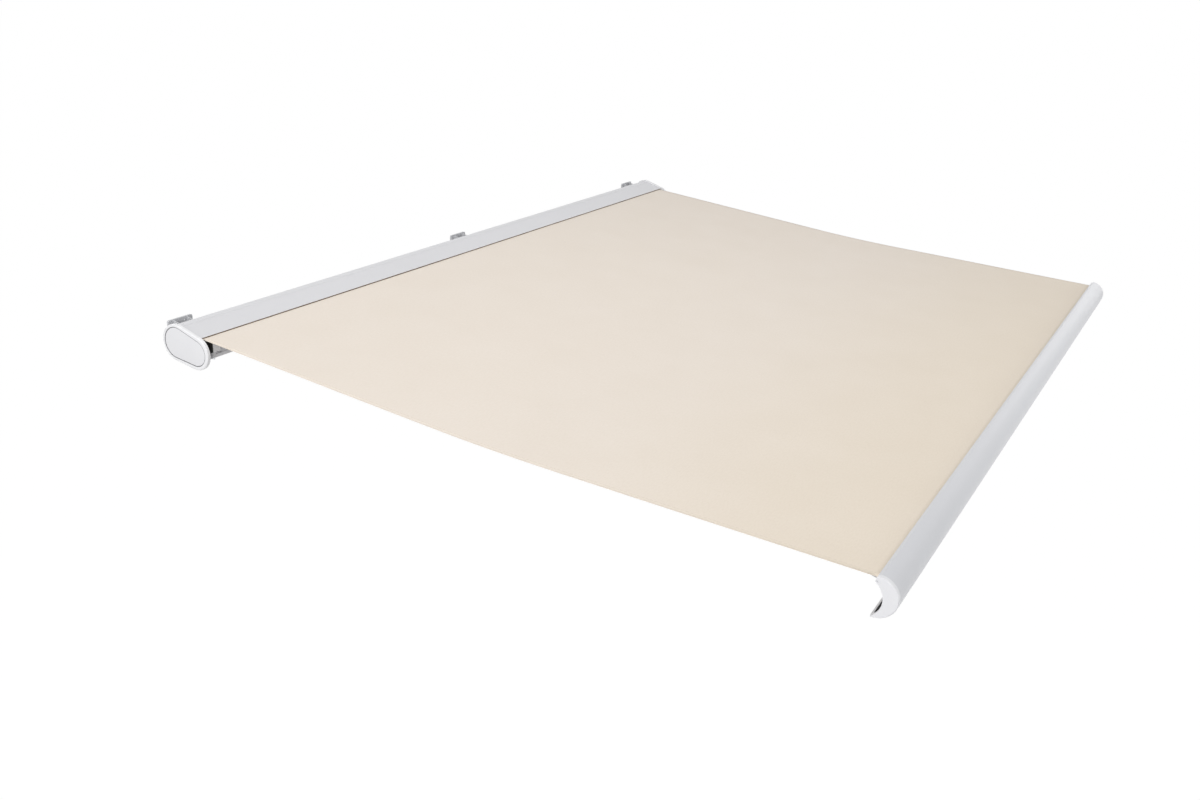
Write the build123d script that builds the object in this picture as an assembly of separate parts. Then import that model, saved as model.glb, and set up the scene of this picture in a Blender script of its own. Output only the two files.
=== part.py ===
from build123d import *
import math
import os

os.makedirs("parts", exist_ok=True)

# A folding-arm awning in a closed cassette, shown fully out.
# Millimetres and degrees. The wall is the plane Y = 0, X runs to the right as seen from the front,
# the awning goes out towards -Y and Z is up. The origin is on the wall behind the middle bracket.

# Cassette
overall_width = 4000.0
cap_thickness = 15.0
wall_gap = 20.5
back_radius = 76.5
front_radius = 70.0
centre_spacing = 104.8
cassette_tilt = 15.5
cap_overhang = 6.5
cap_edge_round = 5.0
shell_wall = 2.5
tray_wall = 4.0
shell_start = 50.0
shell_seat = 12.0
crease_width = 11.0
crease_depth = 0.7
tray_front = 165.0
tray_lip_height = 12.0
tray_lip_wall = 3.0
rail_angle = 42.0
rail_reach = 6.0
rail_thickness = 5.0
port_circle_radius = 59.0
low_port_angle = -75.0
top_port_angle = 95.0
port_bore = 2.2
cap_screw_head_radius = 4.4
cap_screw_head_height = 4.0
cap_screw_length = 34.0

# Oval trim in each end cap
insert_margin = 11.5
insert_front_margin = 14.0
insert_gap = 1.0
insert_recess = 5.0
insert_proud = 0.8
insert_edge_round = 1.6

# Wall brackets
bracket_width = 123.0
bracket_end_inset = 108.0
bracket_plate = 10.0
bracket_top = 66.0
bracket_bottom = 66.0
bracket_corner = 7.0
cheek_inset = 25.0
cheek_width = 5.0
cheek_top = 62.0
cheek_reach = 50.0
cheek_front_top = 51.0
wall_bolt_x = 50.0
wall_bolt_z = 100.0
wall_bolt_bore = 5.5
clamp_width = 40.0
clamp_reach = 44.0
clamp_top = 40.0
clamp_screw_radius = 4.0
clamp_screw_height = 60.0
clamp_head_radius = 6.4
clamp_head_height = 5.5

# Roller, motor and cloth
roller_setback = 4.0
roller_rise = 1.5
roller_radius = 39.0
roller_wall = 2.0
roll_thickness = 2.0
keyway_radius = 4.2
keyway_slot = 3.0
welt_radius = 3.8
cloth_side_gap = 12.0
cloth_thickness = 1.0
cloth_sag = 36.5
cloth_kink_length = 275.0
end_plate_thickness = 7.5
end_plate_radius = 50.0
idler_length = 60.0
idler_pin_radius = 6.0
motor_radius = 24.0
motor_length = 620.0
motor_head_radius = 26.0
motor_head_length = 26.0
motor_shaft_radius = 8.0
drive_wheel_length = 40.0

# Folding arms
arm_pitch = 6.57
arm_open_angle = 18.38
arm_length = 1480.0
shoulder_end_inset = 160.0
shoulder_inset = 26.2
wrist_reach = 46.8
arm_width = 36.0
arm_height = 40.0
arm_corner = 12.0
arm_wall = 3.0
fold_gap = 2.0
tube_start = 34.0
collar_length = 8.0
spigot_length = 60.0
casting_overlap = 1.0
shoulder_pin_radius = 8.0
elbow_pin_radius = 7.0
wrist_pin_radius = 6.0
pin_head = 2.0
pin_head_rim = 4.0
neck_depth = 1.0
neck_inset = 3.0
knuckle_radius = 20.0
knuckle_height = 46.0
elbow_radius = 19.0
elbow_eye_height = 28.0
elbow_lug = 8.0
wrist_radius = 17.5
wrist_eye_height = 36.0
wrist_lug = 7.0
spring_radius = 12.0
spring_bore = 8.0
spring_length = 780.0

# Shoulder brackets
shoulder_width_out = 75.0
shoulder_width_in = 60.0
shoulder_lug = 10.0
shoulder_foot = 12.0
shoulder_foot_length = 46.0
shoulder_riser = 8.0
shoulder_toe_rise = 2.0
shoulder_screw_radius = 4.0
shoulder_screw_head_radius = 6.8
shoulder_screw_head_height = 4.0
shoulder_screw_inset = 20.0
tilt_screw_radius = 5.0
tilt_screw_length = 30.0
tilt_screw_offset = 46.0

# Front bar
bar_gap = 2.0
nose_angle = 129.0
tip_angle = 239.5
bar_front_radius = 69.0
bar_front_out = 52.0
bar_front_up = 7.0
crown_angle = 97.0
brow_angle = 88.0
brow_depth = 5.0
bar_wall = 2.5
bar_channel_out = 57.0
bar_channel_up = 58.5
bar_channel_boss = 7.0
bar_cap_round = 5.0
bar_slot = 2.4
wrist_flange_half = 38.0
wrist_flange_wall = 3.5
wrist_flange_angle = 14.0
wrist_screw_radius = 4.0
seal_start_angle = 212.0
seal_end_angle = 228.0
seal_thickness = 1.5

# Clearances
running_gap = 0.05
seat_gap = 0.2
body_gap = 0.5

half_width = overall_width / 2
profile_half = half_width - cap_thickness
cloth_half = profile_half - cloth_side_gap
bracket_spacing = half_width - bracket_end_inset
shoulder_x = half_width - shoulder_end_inset
back_y = -(wall_gap + back_radius)
back_centre = Vector(back_y, 0)
toward_back = Vector(math.cos(math.radians(cassette_tilt)), math.sin(math.radians(cassette_tilt)))
front_centre = back_centre - toward_back * centre_spacing
shell_back = back_radius - cap_overhang
shell_front = front_radius - cap_overhang
roller_centre = back_centre + Vector(roller_setback, roller_rise)
wound_radius = roller_radius + roll_thickness

# The arms fold in one plane, which leans down and out by the arm pitch.
lean = math.radians(arm_pitch)
outward = Vector(0, -math.cos(lean), -math.sin(lean))
upright = Vector(0, -math.sin(lean), math.cos(lean))
sideways = Vector(1, 0, 0)
front_axis = Vector(0, front_centre.X, front_centre.Y)
folded_spacing = shoulder_inset + wrist_reach
open_angle = math.radians(arm_open_angle)
closed_angle = math.acos(folded_spacing / (2 * arm_length))
bar_travel = 2 * arm_length * math.cos(open_angle) - folded_spacing
shoulder_pivot = front_axis - outward * shoulder_inset - sideways * shoulder_x
bar_axis = front_axis + outward * bar_travel
wrist_pivot = bar_axis + outward * wrist_reach - sideways * shoulder_x
bar_centre = Vector(bar_axis.Y, bar_axis.Z)
elbow_shift = arm_width / 2 + fold_gap / 2
elbow_pivot = (
    shoulder_pivot
    + outward * (arm_length * math.cos(open_angle))
    + sideways * (arm_length * math.sin(open_angle))
)

nodes = {}


def polar(centre, radius, degrees):
    """The point at an angle round a centre, counted from the wall side upwards."""
    angle = math.radians(degrees)
    return centre + Vector(math.cos(angle), math.sin(angle)) * radius


def along(face, x_from, x_to):
    """The solid that a face drawn in Y and Z leaves when it is pulled along X."""
    return extrude(Plane.YZ.offset(x_from) * face, x_to - x_from)


def disc(centre, radius):
    return Pos(centre.X, centre.Y) * Circle(radius)


def area(*points):
    return make_face(Polyline(*points, close=True))


def tangent_half_angle(back_r, front_r):
    """Half the angle between the two outer tangents' normals, seen from the line of centres."""
    return math.degrees(math.acos((front_r - back_r) / centre_spacing))


def egg(back_r, front_r):
    """The egg outline round the back and front centres, closed by its two outer tangents."""
    spread = tangent_half_angle(back_r, front_r)
    top, low = cassette_tilt + spread, cassette_tilt - spread
    back_top, back_low = polar(back_centre, back_r, top), polar(back_centre, back_r, low)
    front_top, front_low = polar(front_centre, front_r, top), polar(front_centre, front_r, low)
    return make_face(
        [
            ThreePointArc(back_low, polar(back_centre, back_r, cassette_tilt), back_top),
            Line(back_top, front_top),
            ThreePointArc(front_top, polar(front_centre, front_r, cassette_tilt + 180), front_low),
            Line(front_low, back_low),
        ]
    )


def mirrored(shape):
    return mirror(shape, about=Plane.YZ)


def pair(name, left):
    """Keeps a left piece and its mirror image as two nodes."""
    nodes["left_" + name] = left
    nodes["right_" + name] = mirrored(left)


# Cassette


def upper_normal():
    return cassette_tilt + tangent_half_angle(shell_back, shell_front)


def lower_normal():
    return cassette_tilt - tangent_half_angle(shell_back, shell_front)


def belly_height(y):
    """Height of the tray's flat outer belly at a distance from the wall."""
    contact = polar(back_centre, shell_back, lower_normal())
    return contact.Y + (y - contact.X) * math.tan(math.radians(lower_normal() + 90))


def rail(angle, grow=0.0):
    """The section of a hook rail on the back of the tray."""
    middle = shell_back + rail_reach / 2 - shell_wall / 2
    bar = Rectangle(rail_reach + shell_wall + 2 * grow, rail_thickness + 2 * grow)
    return Pos(back_centre.X, back_centre.Y) * Rot(Z=angle) * Pos(middle, 0) * bar


def port_angles():
    return (rail_angle, -rail_angle, low_port_angle)


def screw_ports():
    """Centres of the round ports that the end cap screws cut their thread in."""
    return [polar(back_centre, port_circle_radius, angle) for angle in port_angles()]


def top_port():
    return polar(back_centre, port_circle_radius, top_port_angle)


def cassette_tray():
    """Back and bottom of the cassette in one extrusion, with rails, screw ports and front lip."""
    far = 3 * back_radius
    skin = egg(shell_back, shell_front) - egg(shell_back - tray_wall, shell_front - tray_wall)
    start = polar(back_centre, far, shell_start)
    keep = area(
        back_centre, start, (far, start.Y), (far, -far), (-tray_front, -far), (-tray_front, back_centre.Y)
    )
    section = skin & keep
    inner = shell_back - shell_wall - seat_gap
    seat = disc(back_centre, inner) - disc(back_centre, inner - tray_wall)
    reach = math.degrees(shell_seat / inner)
    seat_wedge = area(
        back_centre,
        polar(back_centre, far, shell_start - reach),
        polar(back_centre, far, shell_start + reach),
    )
    section += seat & seat_wedge
    lip_middle = belly_height(-tray_front) + (tray_lip_height + tray_wall) / 2
    lip = Pos(-tray_front + tray_lip_wall / 2, lip_middle)
    section += lip * Rectangle(tray_lip_wall, tray_lip_height)
    section += rail(rail_angle) + rail(-rail_angle)
    boss = shell_back - tray_wall / 2 - port_circle_radius
    for port in screw_ports():
        section += disc(port, boss) & disc(back_centre, shell_back - tray_wall / 2)
    for port in screw_ports():
        section -= disc(port, port_bore)
    tray = along(section, -profile_half, profile_half)
    for x in shoulder_screw_places():
        tray -= shoulder_screw_hole(x) + shoulder_screw_hole(-x)
    return tray


def top_shell():
    """Cover from the back of the cassette to the lip over the cloth, with its crease."""
    far = 3 * back_radius
    skin = egg(shell_back, shell_front) - egg(shell_back - shell_wall, shell_front - shell_wall)
    gap = math.degrees(seat_gap / shell_back)
    start = polar(back_centre, far, shell_start + gap)
    end = polar(front_centre, far, upper_normal())
    keep = area(back_centre, start, (start.X, end.Y), end, front_centre)
    boss = shell_back - shell_wall / 2 - port_circle_radius
    section = skin & keep
    section += disc(top_port(), boss) & disc(back_centre, shell_back - shell_wall / 2)
    section -= disc(top_port(), port_bore)
    crease = polar(back_centre, shell_back, upper_normal())
    flute = Pos(crease.X, crease.Y) * Rot(Z=upper_normal() - 90) * Pos(-crease_width / 2, 0)
    section -= flute * Rectangle(crease_width, 2 * crease_depth)
    return along(section, -profile_half, profile_half)


def cap_screw_places():
    return screw_ports() + [top_port()]


def end_cap():
    """Left end cap: an egg-shaped plate with a rounded rim and an oval recess for its trim."""
    plate = along(egg(back_radius, front_radius), -half_width, -profile_half)
    rim = plate.faces().sort_by(Axis.X)[0].edges()
    plate = fillet(rim, cap_edge_round)
    pocket = egg(
        back_radius - insert_margin + insert_gap, front_radius - insert_front_margin + insert_gap
    )
    plate -= along(pocket, -half_width, -half_width + insert_recess)
    floor = -half_width + insert_recess
    for place in cap_screw_places():
        sink = disc(place, cap_screw_head_radius + seat_gap)
        plate -= along(sink, floor, floor + cap_screw_head_height)
        plate -= along(disc(place, port_bore + running_gap), floor, -profile_half)
    return plate


def cap_insert():
    """Oval trim that closes the recess of the left end cap."""
    outline = egg(back_radius - insert_margin, front_radius - insert_front_margin)
    plate = along(outline, -half_width - insert_proud, -half_width + insert_recess)
    return fillet(plate.faces().sort_by(Axis.X)[0].edges(), insert_edge_round)


def cap_screws():
    """Screws of both end caps, with their heads sunk under the trims."""
    top = -half_width + insert_recess + seat_gap
    under = -half_width + insert_recess + cap_screw_head_height
    screws = []
    for place in cap_screw_places():
        head = along(disc(place, cap_screw_head_radius), top, under)
        shank = along(disc(place, port_bore), under, under + cap_screw_length)
        screws.append(head + shank)
    screws += [mirrored(screw) for screw in screws]
    return Compound(screws)


# Wall brackets


def wall_bracket(x):
    """Plate with four bolt holes and two upright cheeks that carry the back of the tray."""
    plate = RectangleRounded(bracket_width, bracket_top + bracket_bottom, bracket_corner)
    bracket = extrude(Plane.XZ * Pos(0, (bracket_top - bracket_bottom) / 2) * plate, bracket_plate)
    cheek = area(
        (-bracket_plate, cheek_top),
        (-cheek_reach, cheek_front_top),
        (-cheek_reach, -bracket_bottom),
        (-bracket_plate, -bracket_bottom),
    )
    cheek -= disc(back_centre, shell_back + seat_gap)
    cheek -= rail(rail_angle, seat_gap)
    under = Pos(shell_back, rail_thickness / 2 + seat_gap - shell_back) * Rectangle(
        3 * shell_back, 2 * shell_back
    )
    cheek -= Pos(back_centre.X, back_centre.Y) * Rot(Z=-rail_angle) * under
    outer = bracket_width / 2 - cheek_inset
    bracket += along(cheek, -outer, -outer + cheek_width)
    bracket += along(cheek, outer - cheek_width, outer)
    for sx in (-1, 1):
        for sz in (-1, 1):
            hole = Pos(sx * wall_bolt_x / 2, 0, sz * wall_bolt_z / 2) * Rot(X=90)
            bracket -= hole * Cylinder(wall_bolt_bore, 4 * bracket_plate)
    bracket -= Pos(0, 0, -clamp_screw_height) * Rot(X=90) * Cylinder(
        clamp_screw_radius + running_gap, 4 * bracket_plate
    )
    return Pos(x, 0, 0) * bracket


def bracket_clamps():
    """Wedges that lock the lower rail of the tray, one in the middle of each bracket."""
    wedge = area(
        (-bracket_plate, -clamp_top),
        (-clamp_reach, -clamp_top),
        (-clamp_reach, -bracket_bottom),
        (-bracket_plate, -bracket_bottom),
    )
    wedge -= disc(back_centre, shell_back + seat_gap)
    over = Pos(shell_back, shell_back - rail_thickness / 2 - seat_gap) * Rectangle(
        3 * shell_back, 2 * shell_back
    )
    wedge -= Pos(back_centre.X, back_centre.Y) * Rot(Z=-rail_angle) * over
    clamp = along(wedge, -clamp_width / 2, clamp_width / 2)
    clamp -= Pos(0, 0, -clamp_screw_height) * Rot(X=90) * Cylinder(
        clamp_screw_radius + running_gap, 4 * clamp_reach
    )
    return Compound([Pos(x, 0, 0) * clamp for x in (-bracket_spacing, 0, bracket_spacing)])


def bracket_clamp_screws():
    """Screws that pull the clamp wedges against the bracket plates."""
    face = clamp_reach + seat_gap
    shank = Pos(0, -(face + body_gap) / 2, 0) * Rot(X=90) * Cylinder(clamp_screw_radius, face - body_gap)
    head_middle = Pos(0, -face - clamp_head_height / 2, 0)
    head = head_middle * Rot(X=90) * Cylinder(clamp_head_radius, clamp_head_height)
    screw = Pos(0, 0, -clamp_screw_height) * (shank + head)
    return Compound([Pos(x, 0, 0) * screw for x in (-bracket_spacing, 0, bracket_spacing)])


# Roller, motor and cloth


def roller_tube():
    """Roller tube with the keyway that holds the cloth's welt."""
    section = disc(roller_centre, roller_radius) - disc(roller_centre, roller_radius - roller_wall)
    key = roller_centre - Vector(0, roller_radius - roller_wall - keyway_radius)
    inside = disc(roller_centre, roller_radius - roller_wall / 2)
    section += disc(key, keyway_radius + roller_wall) & inside
    section -= disc(key, keyway_radius)
    slot = Pos(key.X, key.Y - keyway_radius - roller_wall) * Rectangle(keyway_slot, 3 * keyway_radius)
    return along(section - slot, -cloth_half, cloth_half)


def roller_welt():
    """Welt rod that anchors the cloth in the roller."""
    key = roller_centre - Vector(0, roller_radius - roller_wall - keyway_radius)
    return along(disc(key, welt_radius), -cloth_half, cloth_half)


def wound_cloth():
    """Turns of cloth that stay on the roller when the awning is out."""
    ring = disc(roller_centre, wound_radius) - disc(roller_centre, roller_radius + running_gap)
    return along(ring, -cloth_half, cloth_half)


def key_relief(radius):
    """A disc of the roller's bore with room for the keyway's inner wall."""
    key = roller_centre - Vector(0, roller_radius - roller_wall - keyway_radius)
    return disc(roller_centre, radius) - disc(key, keyway_radius + roller_wall + seat_gap)


def idler_plug():
    """Plug in the left end of the roller, with the pin that turns in the end plate."""
    plug = along(
        key_relief(roller_radius - roller_wall - seat_gap), -cloth_half, -cloth_half + idler_length
    )
    pin = along(disc(roller_centre, idler_pin_radius), -profile_half + body_gap, -cloth_half)
    return plug + pin


def end_plate():
    """Section of a roller end plate, inside the shells."""
    inside = egg(shell_back - tray_wall - seat_gap, shell_front - tray_wall - seat_gap)
    plate = disc(roller_centre, end_plate_radius) & inside
    for place in cap_screw_places():
        plate -= disc(place, shell_back - port_circle_radius - shell_wall / 2 + seat_gap)
    return plate


def idler_end_plate():
    bored = end_plate() - disc(roller_centre, idler_pin_radius + running_gap)
    return along(bored, -profile_half, -profile_half + end_plate_thickness)


def motor_end_plate():
    return along(end_plate(), profile_half - end_plate_thickness, profile_half)


def motor_frame():
    return profile_half - end_plate_thickness


def tubular_motor():
    """Motor that lies inside the right half of the roller, with its head on the end plate."""
    outer = motor_frame()
    head = along(disc(roller_centre, motor_head_radius), outer - motor_head_length, outer)
    body = along(disc(roller_centre, motor_radius), outer - motor_length, outer - motor_head_length)
    shaft = along(
        disc(roller_centre, motor_shaft_radius),
        outer - motor_length - drive_wheel_length,
        outer - motor_length,
    )
    return head + body + shaft


def motor_crown():
    """Ring in the right end of the roller that runs on the motor head."""
    ring = key_relief(roller_radius - roller_wall - seat_gap) - disc(
        roller_centre, motor_head_radius + running_gap
    )
    return along(ring, motor_frame() - motor_head_length + seat_gap, cloth_half)


def motor_drive_wheel():
    """Wheel that takes the motor's turning to the roller tube."""
    wheel = key_relief(roller_radius - roller_wall - seat_gap)
    wheel -= disc(roller_centre, motor_shaft_radius + running_gap)
    inner = motor_frame() - motor_length - drive_wheel_length
    return along(wheel, inner, inner + drive_wheel_length - body_gap)


def bar_channel():
    return bar_centre + Vector(-bar_channel_out, bar_channel_up)


def cloth_route():
    """Middle line of the cloth: off the wound roll, under the lip, with a soft kink halfway."""
    end = bar_channel()
    lip = polar(front_centre, shell_front - shell_wall, upper_normal())
    middle = (lip + end) / 2 - Vector(0, cloth_sag + shell_wall)
    radius = wound_radius + cloth_thickness / 2 + body_gap
    reach = middle - roller_centre
    tangent = math.degrees(math.atan2(reach.Y, reach.X)) % 360
    tangent -= math.degrees(math.acos(radius / reach.length))
    start = polar(roller_centre, radius, tangent)
    last = middle - end
    stop = end + last / last.length * (welt_radius + body_gap)
    first_slope = math.atan2(start.Y - middle.Y, start.X - middle.X)
    last_slope = math.atan2(middle.Y - stop.Y, middle.X - stop.X)
    kink = cloth_kink_length / math.tan(abs(first_slope - last_slope) / 2)
    points = [(0, p.X, p.Y) for p in (start, middle, stop)]
    return FilletPolyline(*points, radius=kink)


def cloth_cover():
    """The cloth between the roller and the front bar."""
    route = cloth_route()
    end = Plane(origin=route @ 0, x_dir=(1, 0, 0), z_dir=route % 0)
    return sweep(end * Rectangle(2 * cloth_half, cloth_thickness), path=route)


# Folding arms, drawn in the frame of each link: X from its first pin to its second, Z along the pins


def upper_frame():
    direction = outward * math.cos(open_angle) + sideways * math.sin(open_angle)
    return Plane(origin=shoulder_pivot, x_dir=direction, z_dir=upright)


def fore_frame():
    direction = outward * math.cos(open_angle) - sideways * math.sin(open_angle)
    return Plane(origin=elbow_pivot, x_dir=direction, z_dir=upright)


def tube_frame(x, first_shift, last_shift):
    """Frame across an arm tube at a distance from the first pin; X is sideways, Z along the tube."""
    rise = (last_shift - first_shift) / arm_length
    return Plane(origin=(x, first_shift + rise * x, 0), x_dir=(-rise, 1, 0), z_dir=(1, rise, 0))


def arm_tube(first_shift, last_shift):
    """Arm tube between the two castings of a link."""
    section = RectangleRounded(arm_width, arm_height, arm_corner)
    section -= RectangleRounded(
        arm_width - 2 * arm_wall, arm_height - 2 * arm_wall, arm_corner - arm_wall
    )
    frame = tube_frame(tube_start, first_shift, last_shift)
    return extrude(frame * section, (arm_length - 2 * tube_start) * slant())


def slant():
    return math.hypot(1, elbow_shift / arm_length)


def spigot(x_from, x_to, first_shift, last_shift):
    """Plug of a casting inside the end of an arm tube."""
    inside = 2 * (arm_wall + seat_gap)
    section = RectangleRounded(
        arm_width - inside, arm_height - inside, arm_corner - arm_wall - seat_gap
    )
    return extrude(tube_frame(x_from, first_shift, last_shift) * section, (x_to - x_from) * slant())


def collar(x, first_shift, last_shift, length):
    """Short end of a casting with the outline of the arm tube."""
    section = RectangleRounded(arm_width, arm_height, arm_corner)
    return extrude(tube_frame(x, first_shift, last_shift) * section, length)


def shoulder_knuckle():
    """Casting at the inner end of the upper arm, which turns on the shoulder pin."""
    eye = Cylinder(knuckle_radius, knuckle_height)
    neck = area(
        (0, neck_inset - knuckle_radius),
        (tube_start - collar_length / 2, neck_depth - arm_width / 2),
        (tube_start - collar_length / 2, arm_width / 2 - neck_depth),
        (0, knuckle_radius - neck_inset),
    )
    casting = eye + extrude(neck, arm_height / 2 - neck_inset, both=True)
    casting += collar(tube_start - collar_length, 0, elbow_shift, collar_length)
    casting += spigot(tube_start - casting_overlap, tube_start + spigot_length, 0, elbow_shift)
    return casting - Cylinder(shoulder_pin_radius + running_gap, 2 * knuckle_height)


def elbow_block(height):
    """Plan of an elbow casting beside its pin, pulled up to a height: all on the outer side."""
    flank = area(
        (-tube_start + collar_length / 2, fold_gap / 2),
        (0, fold_gap / 2),
        (0, elbow_radius),
        (-tube_start + collar_length / 2, elbow_shift + arm_width / 2 - neck_depth),
    )
    return extrude(flank, height / 2, both=True) + Cylinder(elbow_radius, height)


def elbow_fork():
    """Fork at the outer end of the upper arm, which holds the elbow pin."""
    total = elbow_eye_height + 2 * (elbow_lug + body_gap)
    gap = elbow_eye_height + 2 * body_gap
    fork = elbow_block(total)
    swept = Cylinder(elbow_radius + body_gap, gap)
    cut_front = Pos(arm_length, 0, 0) * Box(2 * arm_length, 4 * arm_width, gap)
    root = elbow_radius + 2 * body_gap
    fork -= swept + Pos(-root, 0, 0) * cut_front
    fork = Pos(arm_length, 0, 0) * fork
    end = arm_length - tube_start
    fork += collar(end, 0, elbow_shift, collar_length)
    fork += spigot(end - spigot_length, end + casting_overlap, 0, elbow_shift)
    return fork - Pos(arm_length, 0, 0) * Cylinder(elbow_pin_radius + running_gap, 2 * total)


def elbow_eye():
    """Eye at the inner end of the forearm, which turns between the fork's lugs."""
    eye = mirror(elbow_block(elbow_eye_height), about=Plane.YZ)
    eye += collar(tube_start - collar_length, elbow_shift, 0, collar_length)
    eye += spigot(tube_start - casting_overlap, tube_start + spigot_length, elbow_shift, 0)
    return eye - Cylinder(elbow_pin_radius + running_gap, 2 * elbow_eye_height)


def elbow_pin():
    """Pin through fork and eye, with a flat head on top."""
    total = elbow_eye_height + 2 * (elbow_lug + body_gap)
    pin = Cylinder(elbow_pin_radius, total)
    head = Pos(0, 0, (total + pin_head) / 2) * Cylinder(elbow_pin_radius + pin_head_rim, pin_head)
    return Pos(arm_length, 0, 0) * (pin + head)


def wrist_eye():
    """Casting at the outer end of the forearm, which turns in the wrist bracket."""
    eye = Cylinder(wrist_radius, wrist_eye_height)
    neck = area(
        (0, neck_inset - wrist_radius),
        (-tube_start + collar_length / 2, neck_depth - arm_width / 2),
        (-tube_start + collar_length / 2, arm_width / 2 - neck_depth),
        (0, wrist_radius - neck_inset),
    )
    neck_height = wrist_eye_height / 2 - neck_depth
    casting = Pos(arm_length, 0, 0) * (eye + extrude(neck, neck_height, both=True))
    end = arm_length - tube_start
    casting += collar(end, elbow_shift, 0, collar_length)
    casting += spigot(end - spigot_length, end + casting_overlap, elbow_shift, 0)
    bore = Cylinder(wrist_pin_radius + running_gap, 2 * wrist_eye_height)
    return casting - Pos(arm_length, 0, 0) * bore


def arm_spring():
    """Tension spring inside the upper arm tube, as the sleeve that its closed coils make."""
    frame = tube_frame(tube_start + spigot_length, 0, elbow_shift)
    return extrude(frame * (Circle(spring_radius) - Circle(spring_bore)), spring_length)


# Shoulder brackets


def shoulder_bracket():
    """Casting that stands on the tray and holds the shoulder pin between two lugs."""
    pivot = Vector(shoulder_pivot.Y, shoulder_pivot.Z)

    def floor_at(y):
        return belly_height(y) - (tray_wall + seat_gap) / math.sin(math.radians(lower_normal()))

    face = pivot.X + knuckle_radius + body_gap + knuckle_height / 2 * math.sin(lean)
    inner_face = -tray_front + tray_lip_wall + seat_gap
    foot_back = inner_face + shoulder_foot_length
    lug_reach = knuckle_height / 2 + body_gap + shoulder_lug
    crown = pivot.Y + lug_reach / math.cos(lean)
    section = area(
        (inner_face, floor_at(inner_face)),
        (foot_back, floor_at(foot_back)),
        (foot_back, floor_at(foot_back) + shoulder_foot),
        (face + shoulder_riser + shoulder_foot, floor_at(face) + 2 * shoulder_foot),
        (face + shoulder_riser, pivot.Y - shoulder_riser),
        (face + shoulder_riser, crown),
        (face, crown),
        (face, floor_at(face) + 2 * shoulder_foot),
        (inner_face, floor_at(inner_face) + tray_lip_height + shoulder_toe_rise),
    )
    left = -shoulder_x - shoulder_width_out
    right = -shoulder_x + shoulder_width_in
    bracket = along(section, left, right)
    tooth_front = -tray_front - seat_gap
    tooth_low = floor_at(inner_face) + shoulder_toe_rise
    lip_top = floor_at(inner_face) + tray_lip_height
    tooth = area(
        (face, lip_top),
        (face, lip_top + shoulder_foot),
        (tooth_front - shoulder_foot, lip_top + shoulder_foot),
        (tooth_front - shoulder_foot, tooth_low),
        (tooth_front, tooth_low),
        (tooth_front, lip_top),
    )
    ear = -shoulder_x - tilt_screw_offset
    bracket += along(tooth, ear - 2 * tilt_screw_radius, ear + 2 * tilt_screw_radius)
    lugs = Plane(origin=shoulder_pivot, x_dir=(1, 0, 0), z_dir=upright)
    back = face - pivot.X + shoulder_riser / 2 + lug_reach * math.sin(lean)
    plan = Circle(knuckle_radius) + Pos(0, back / 2) * Rectangle(2 * knuckle_radius, back)
    plate = extrude(plan, shoulder_lug)
    height = knuckle_height / 2 + body_gap
    bracket += lugs * Pos(0, 0, height) * plate
    bracket += lugs * Pos(0, 0, -height - shoulder_lug) * plate
    bracket -= lugs * Cylinder(shoulder_pin_radius + running_gap, 4 * lug_reach)
    for x in shoulder_screw_places():
        bracket -= shoulder_screw_hole(x)
    tilt = Pos(ear, tooth_front - shoulder_foot / 2, floor_at(inner_face))
    return bracket - tilt * Cylinder(tilt_screw_radius + running_gap, 4 * tray_lip_height)


def shoulder_screw_places():
    outer = -shoulder_x - shoulder_width_out + shoulder_screw_inset
    inner = -shoulder_x + shoulder_width_in - shoulder_screw_inset
    return [outer, -shoulder_x, inner]


def shoulder_screw_axis(x):
    """Frame square to the tray's floor under the shoulder bracket's foot."""
    y = -tray_front + tray_lip_wall + shoulder_foot_length / 2
    down = polar(Vector(0, 0), 1, lower_normal())
    return Plane(origin=(x, y, belly_height(y)), x_dir=(1, 0, 0), z_dir=(0, down.X, down.Y))


def shoulder_screw_hole(x):
    depth = tray_wall + shoulder_foot
    return shoulder_screw_axis(x) * Cylinder(shoulder_screw_radius + running_gap, 2 * depth)


def shoulder_screws():
    """Screws from below through the tray into both shoulder brackets."""
    screws = []
    for x in shoulder_screw_places():
        length = tray_wall + shoulder_foot
        shank = Pos(0, 0, -length / 2) * Cylinder(shoulder_screw_radius, length)
        head = Cylinder(shoulder_screw_head_radius, shoulder_screw_head_height)
        head = Pos(0, 0, shoulder_screw_head_height / 2) * head
        screws.append(shoulder_screw_axis(x) * (shank + head))
    screws += [mirrored(screw) for screw in screws]
    return Compound(screws)


def tilt_screws():
    """Screws that set the pitch of each arm, hanging in front of the tray's lip."""
    y = -tray_front - seat_gap - shoulder_foot / 2
    middle = belly_height(y) + tilt_screw_length / 2
    x = -shoulder_x - tilt_screw_offset
    screw = Pos(x, y, middle) * Cylinder(tilt_screw_radius, tilt_screw_length)
    return Compound([screw, mirrored(screw)])


def shoulder_pin():
    """Pin through both lugs and the knuckle, with a flat head on top."""
    reach = knuckle_height / 2 + body_gap + shoulder_lug
    pin = Cylinder(shoulder_pin_radius, 2 * reach)
    head = Cylinder(shoulder_pin_radius + pin_head_rim, pin_head)
    head = Pos(0, 0, reach + pin_head / 2) * head
    return Plane(origin=shoulder_pivot, x_dir=(1, 0, 0), z_dir=upright) * (pin + head)


# Front bar


def concave_radius():
    return front_radius + bar_gap


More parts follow.
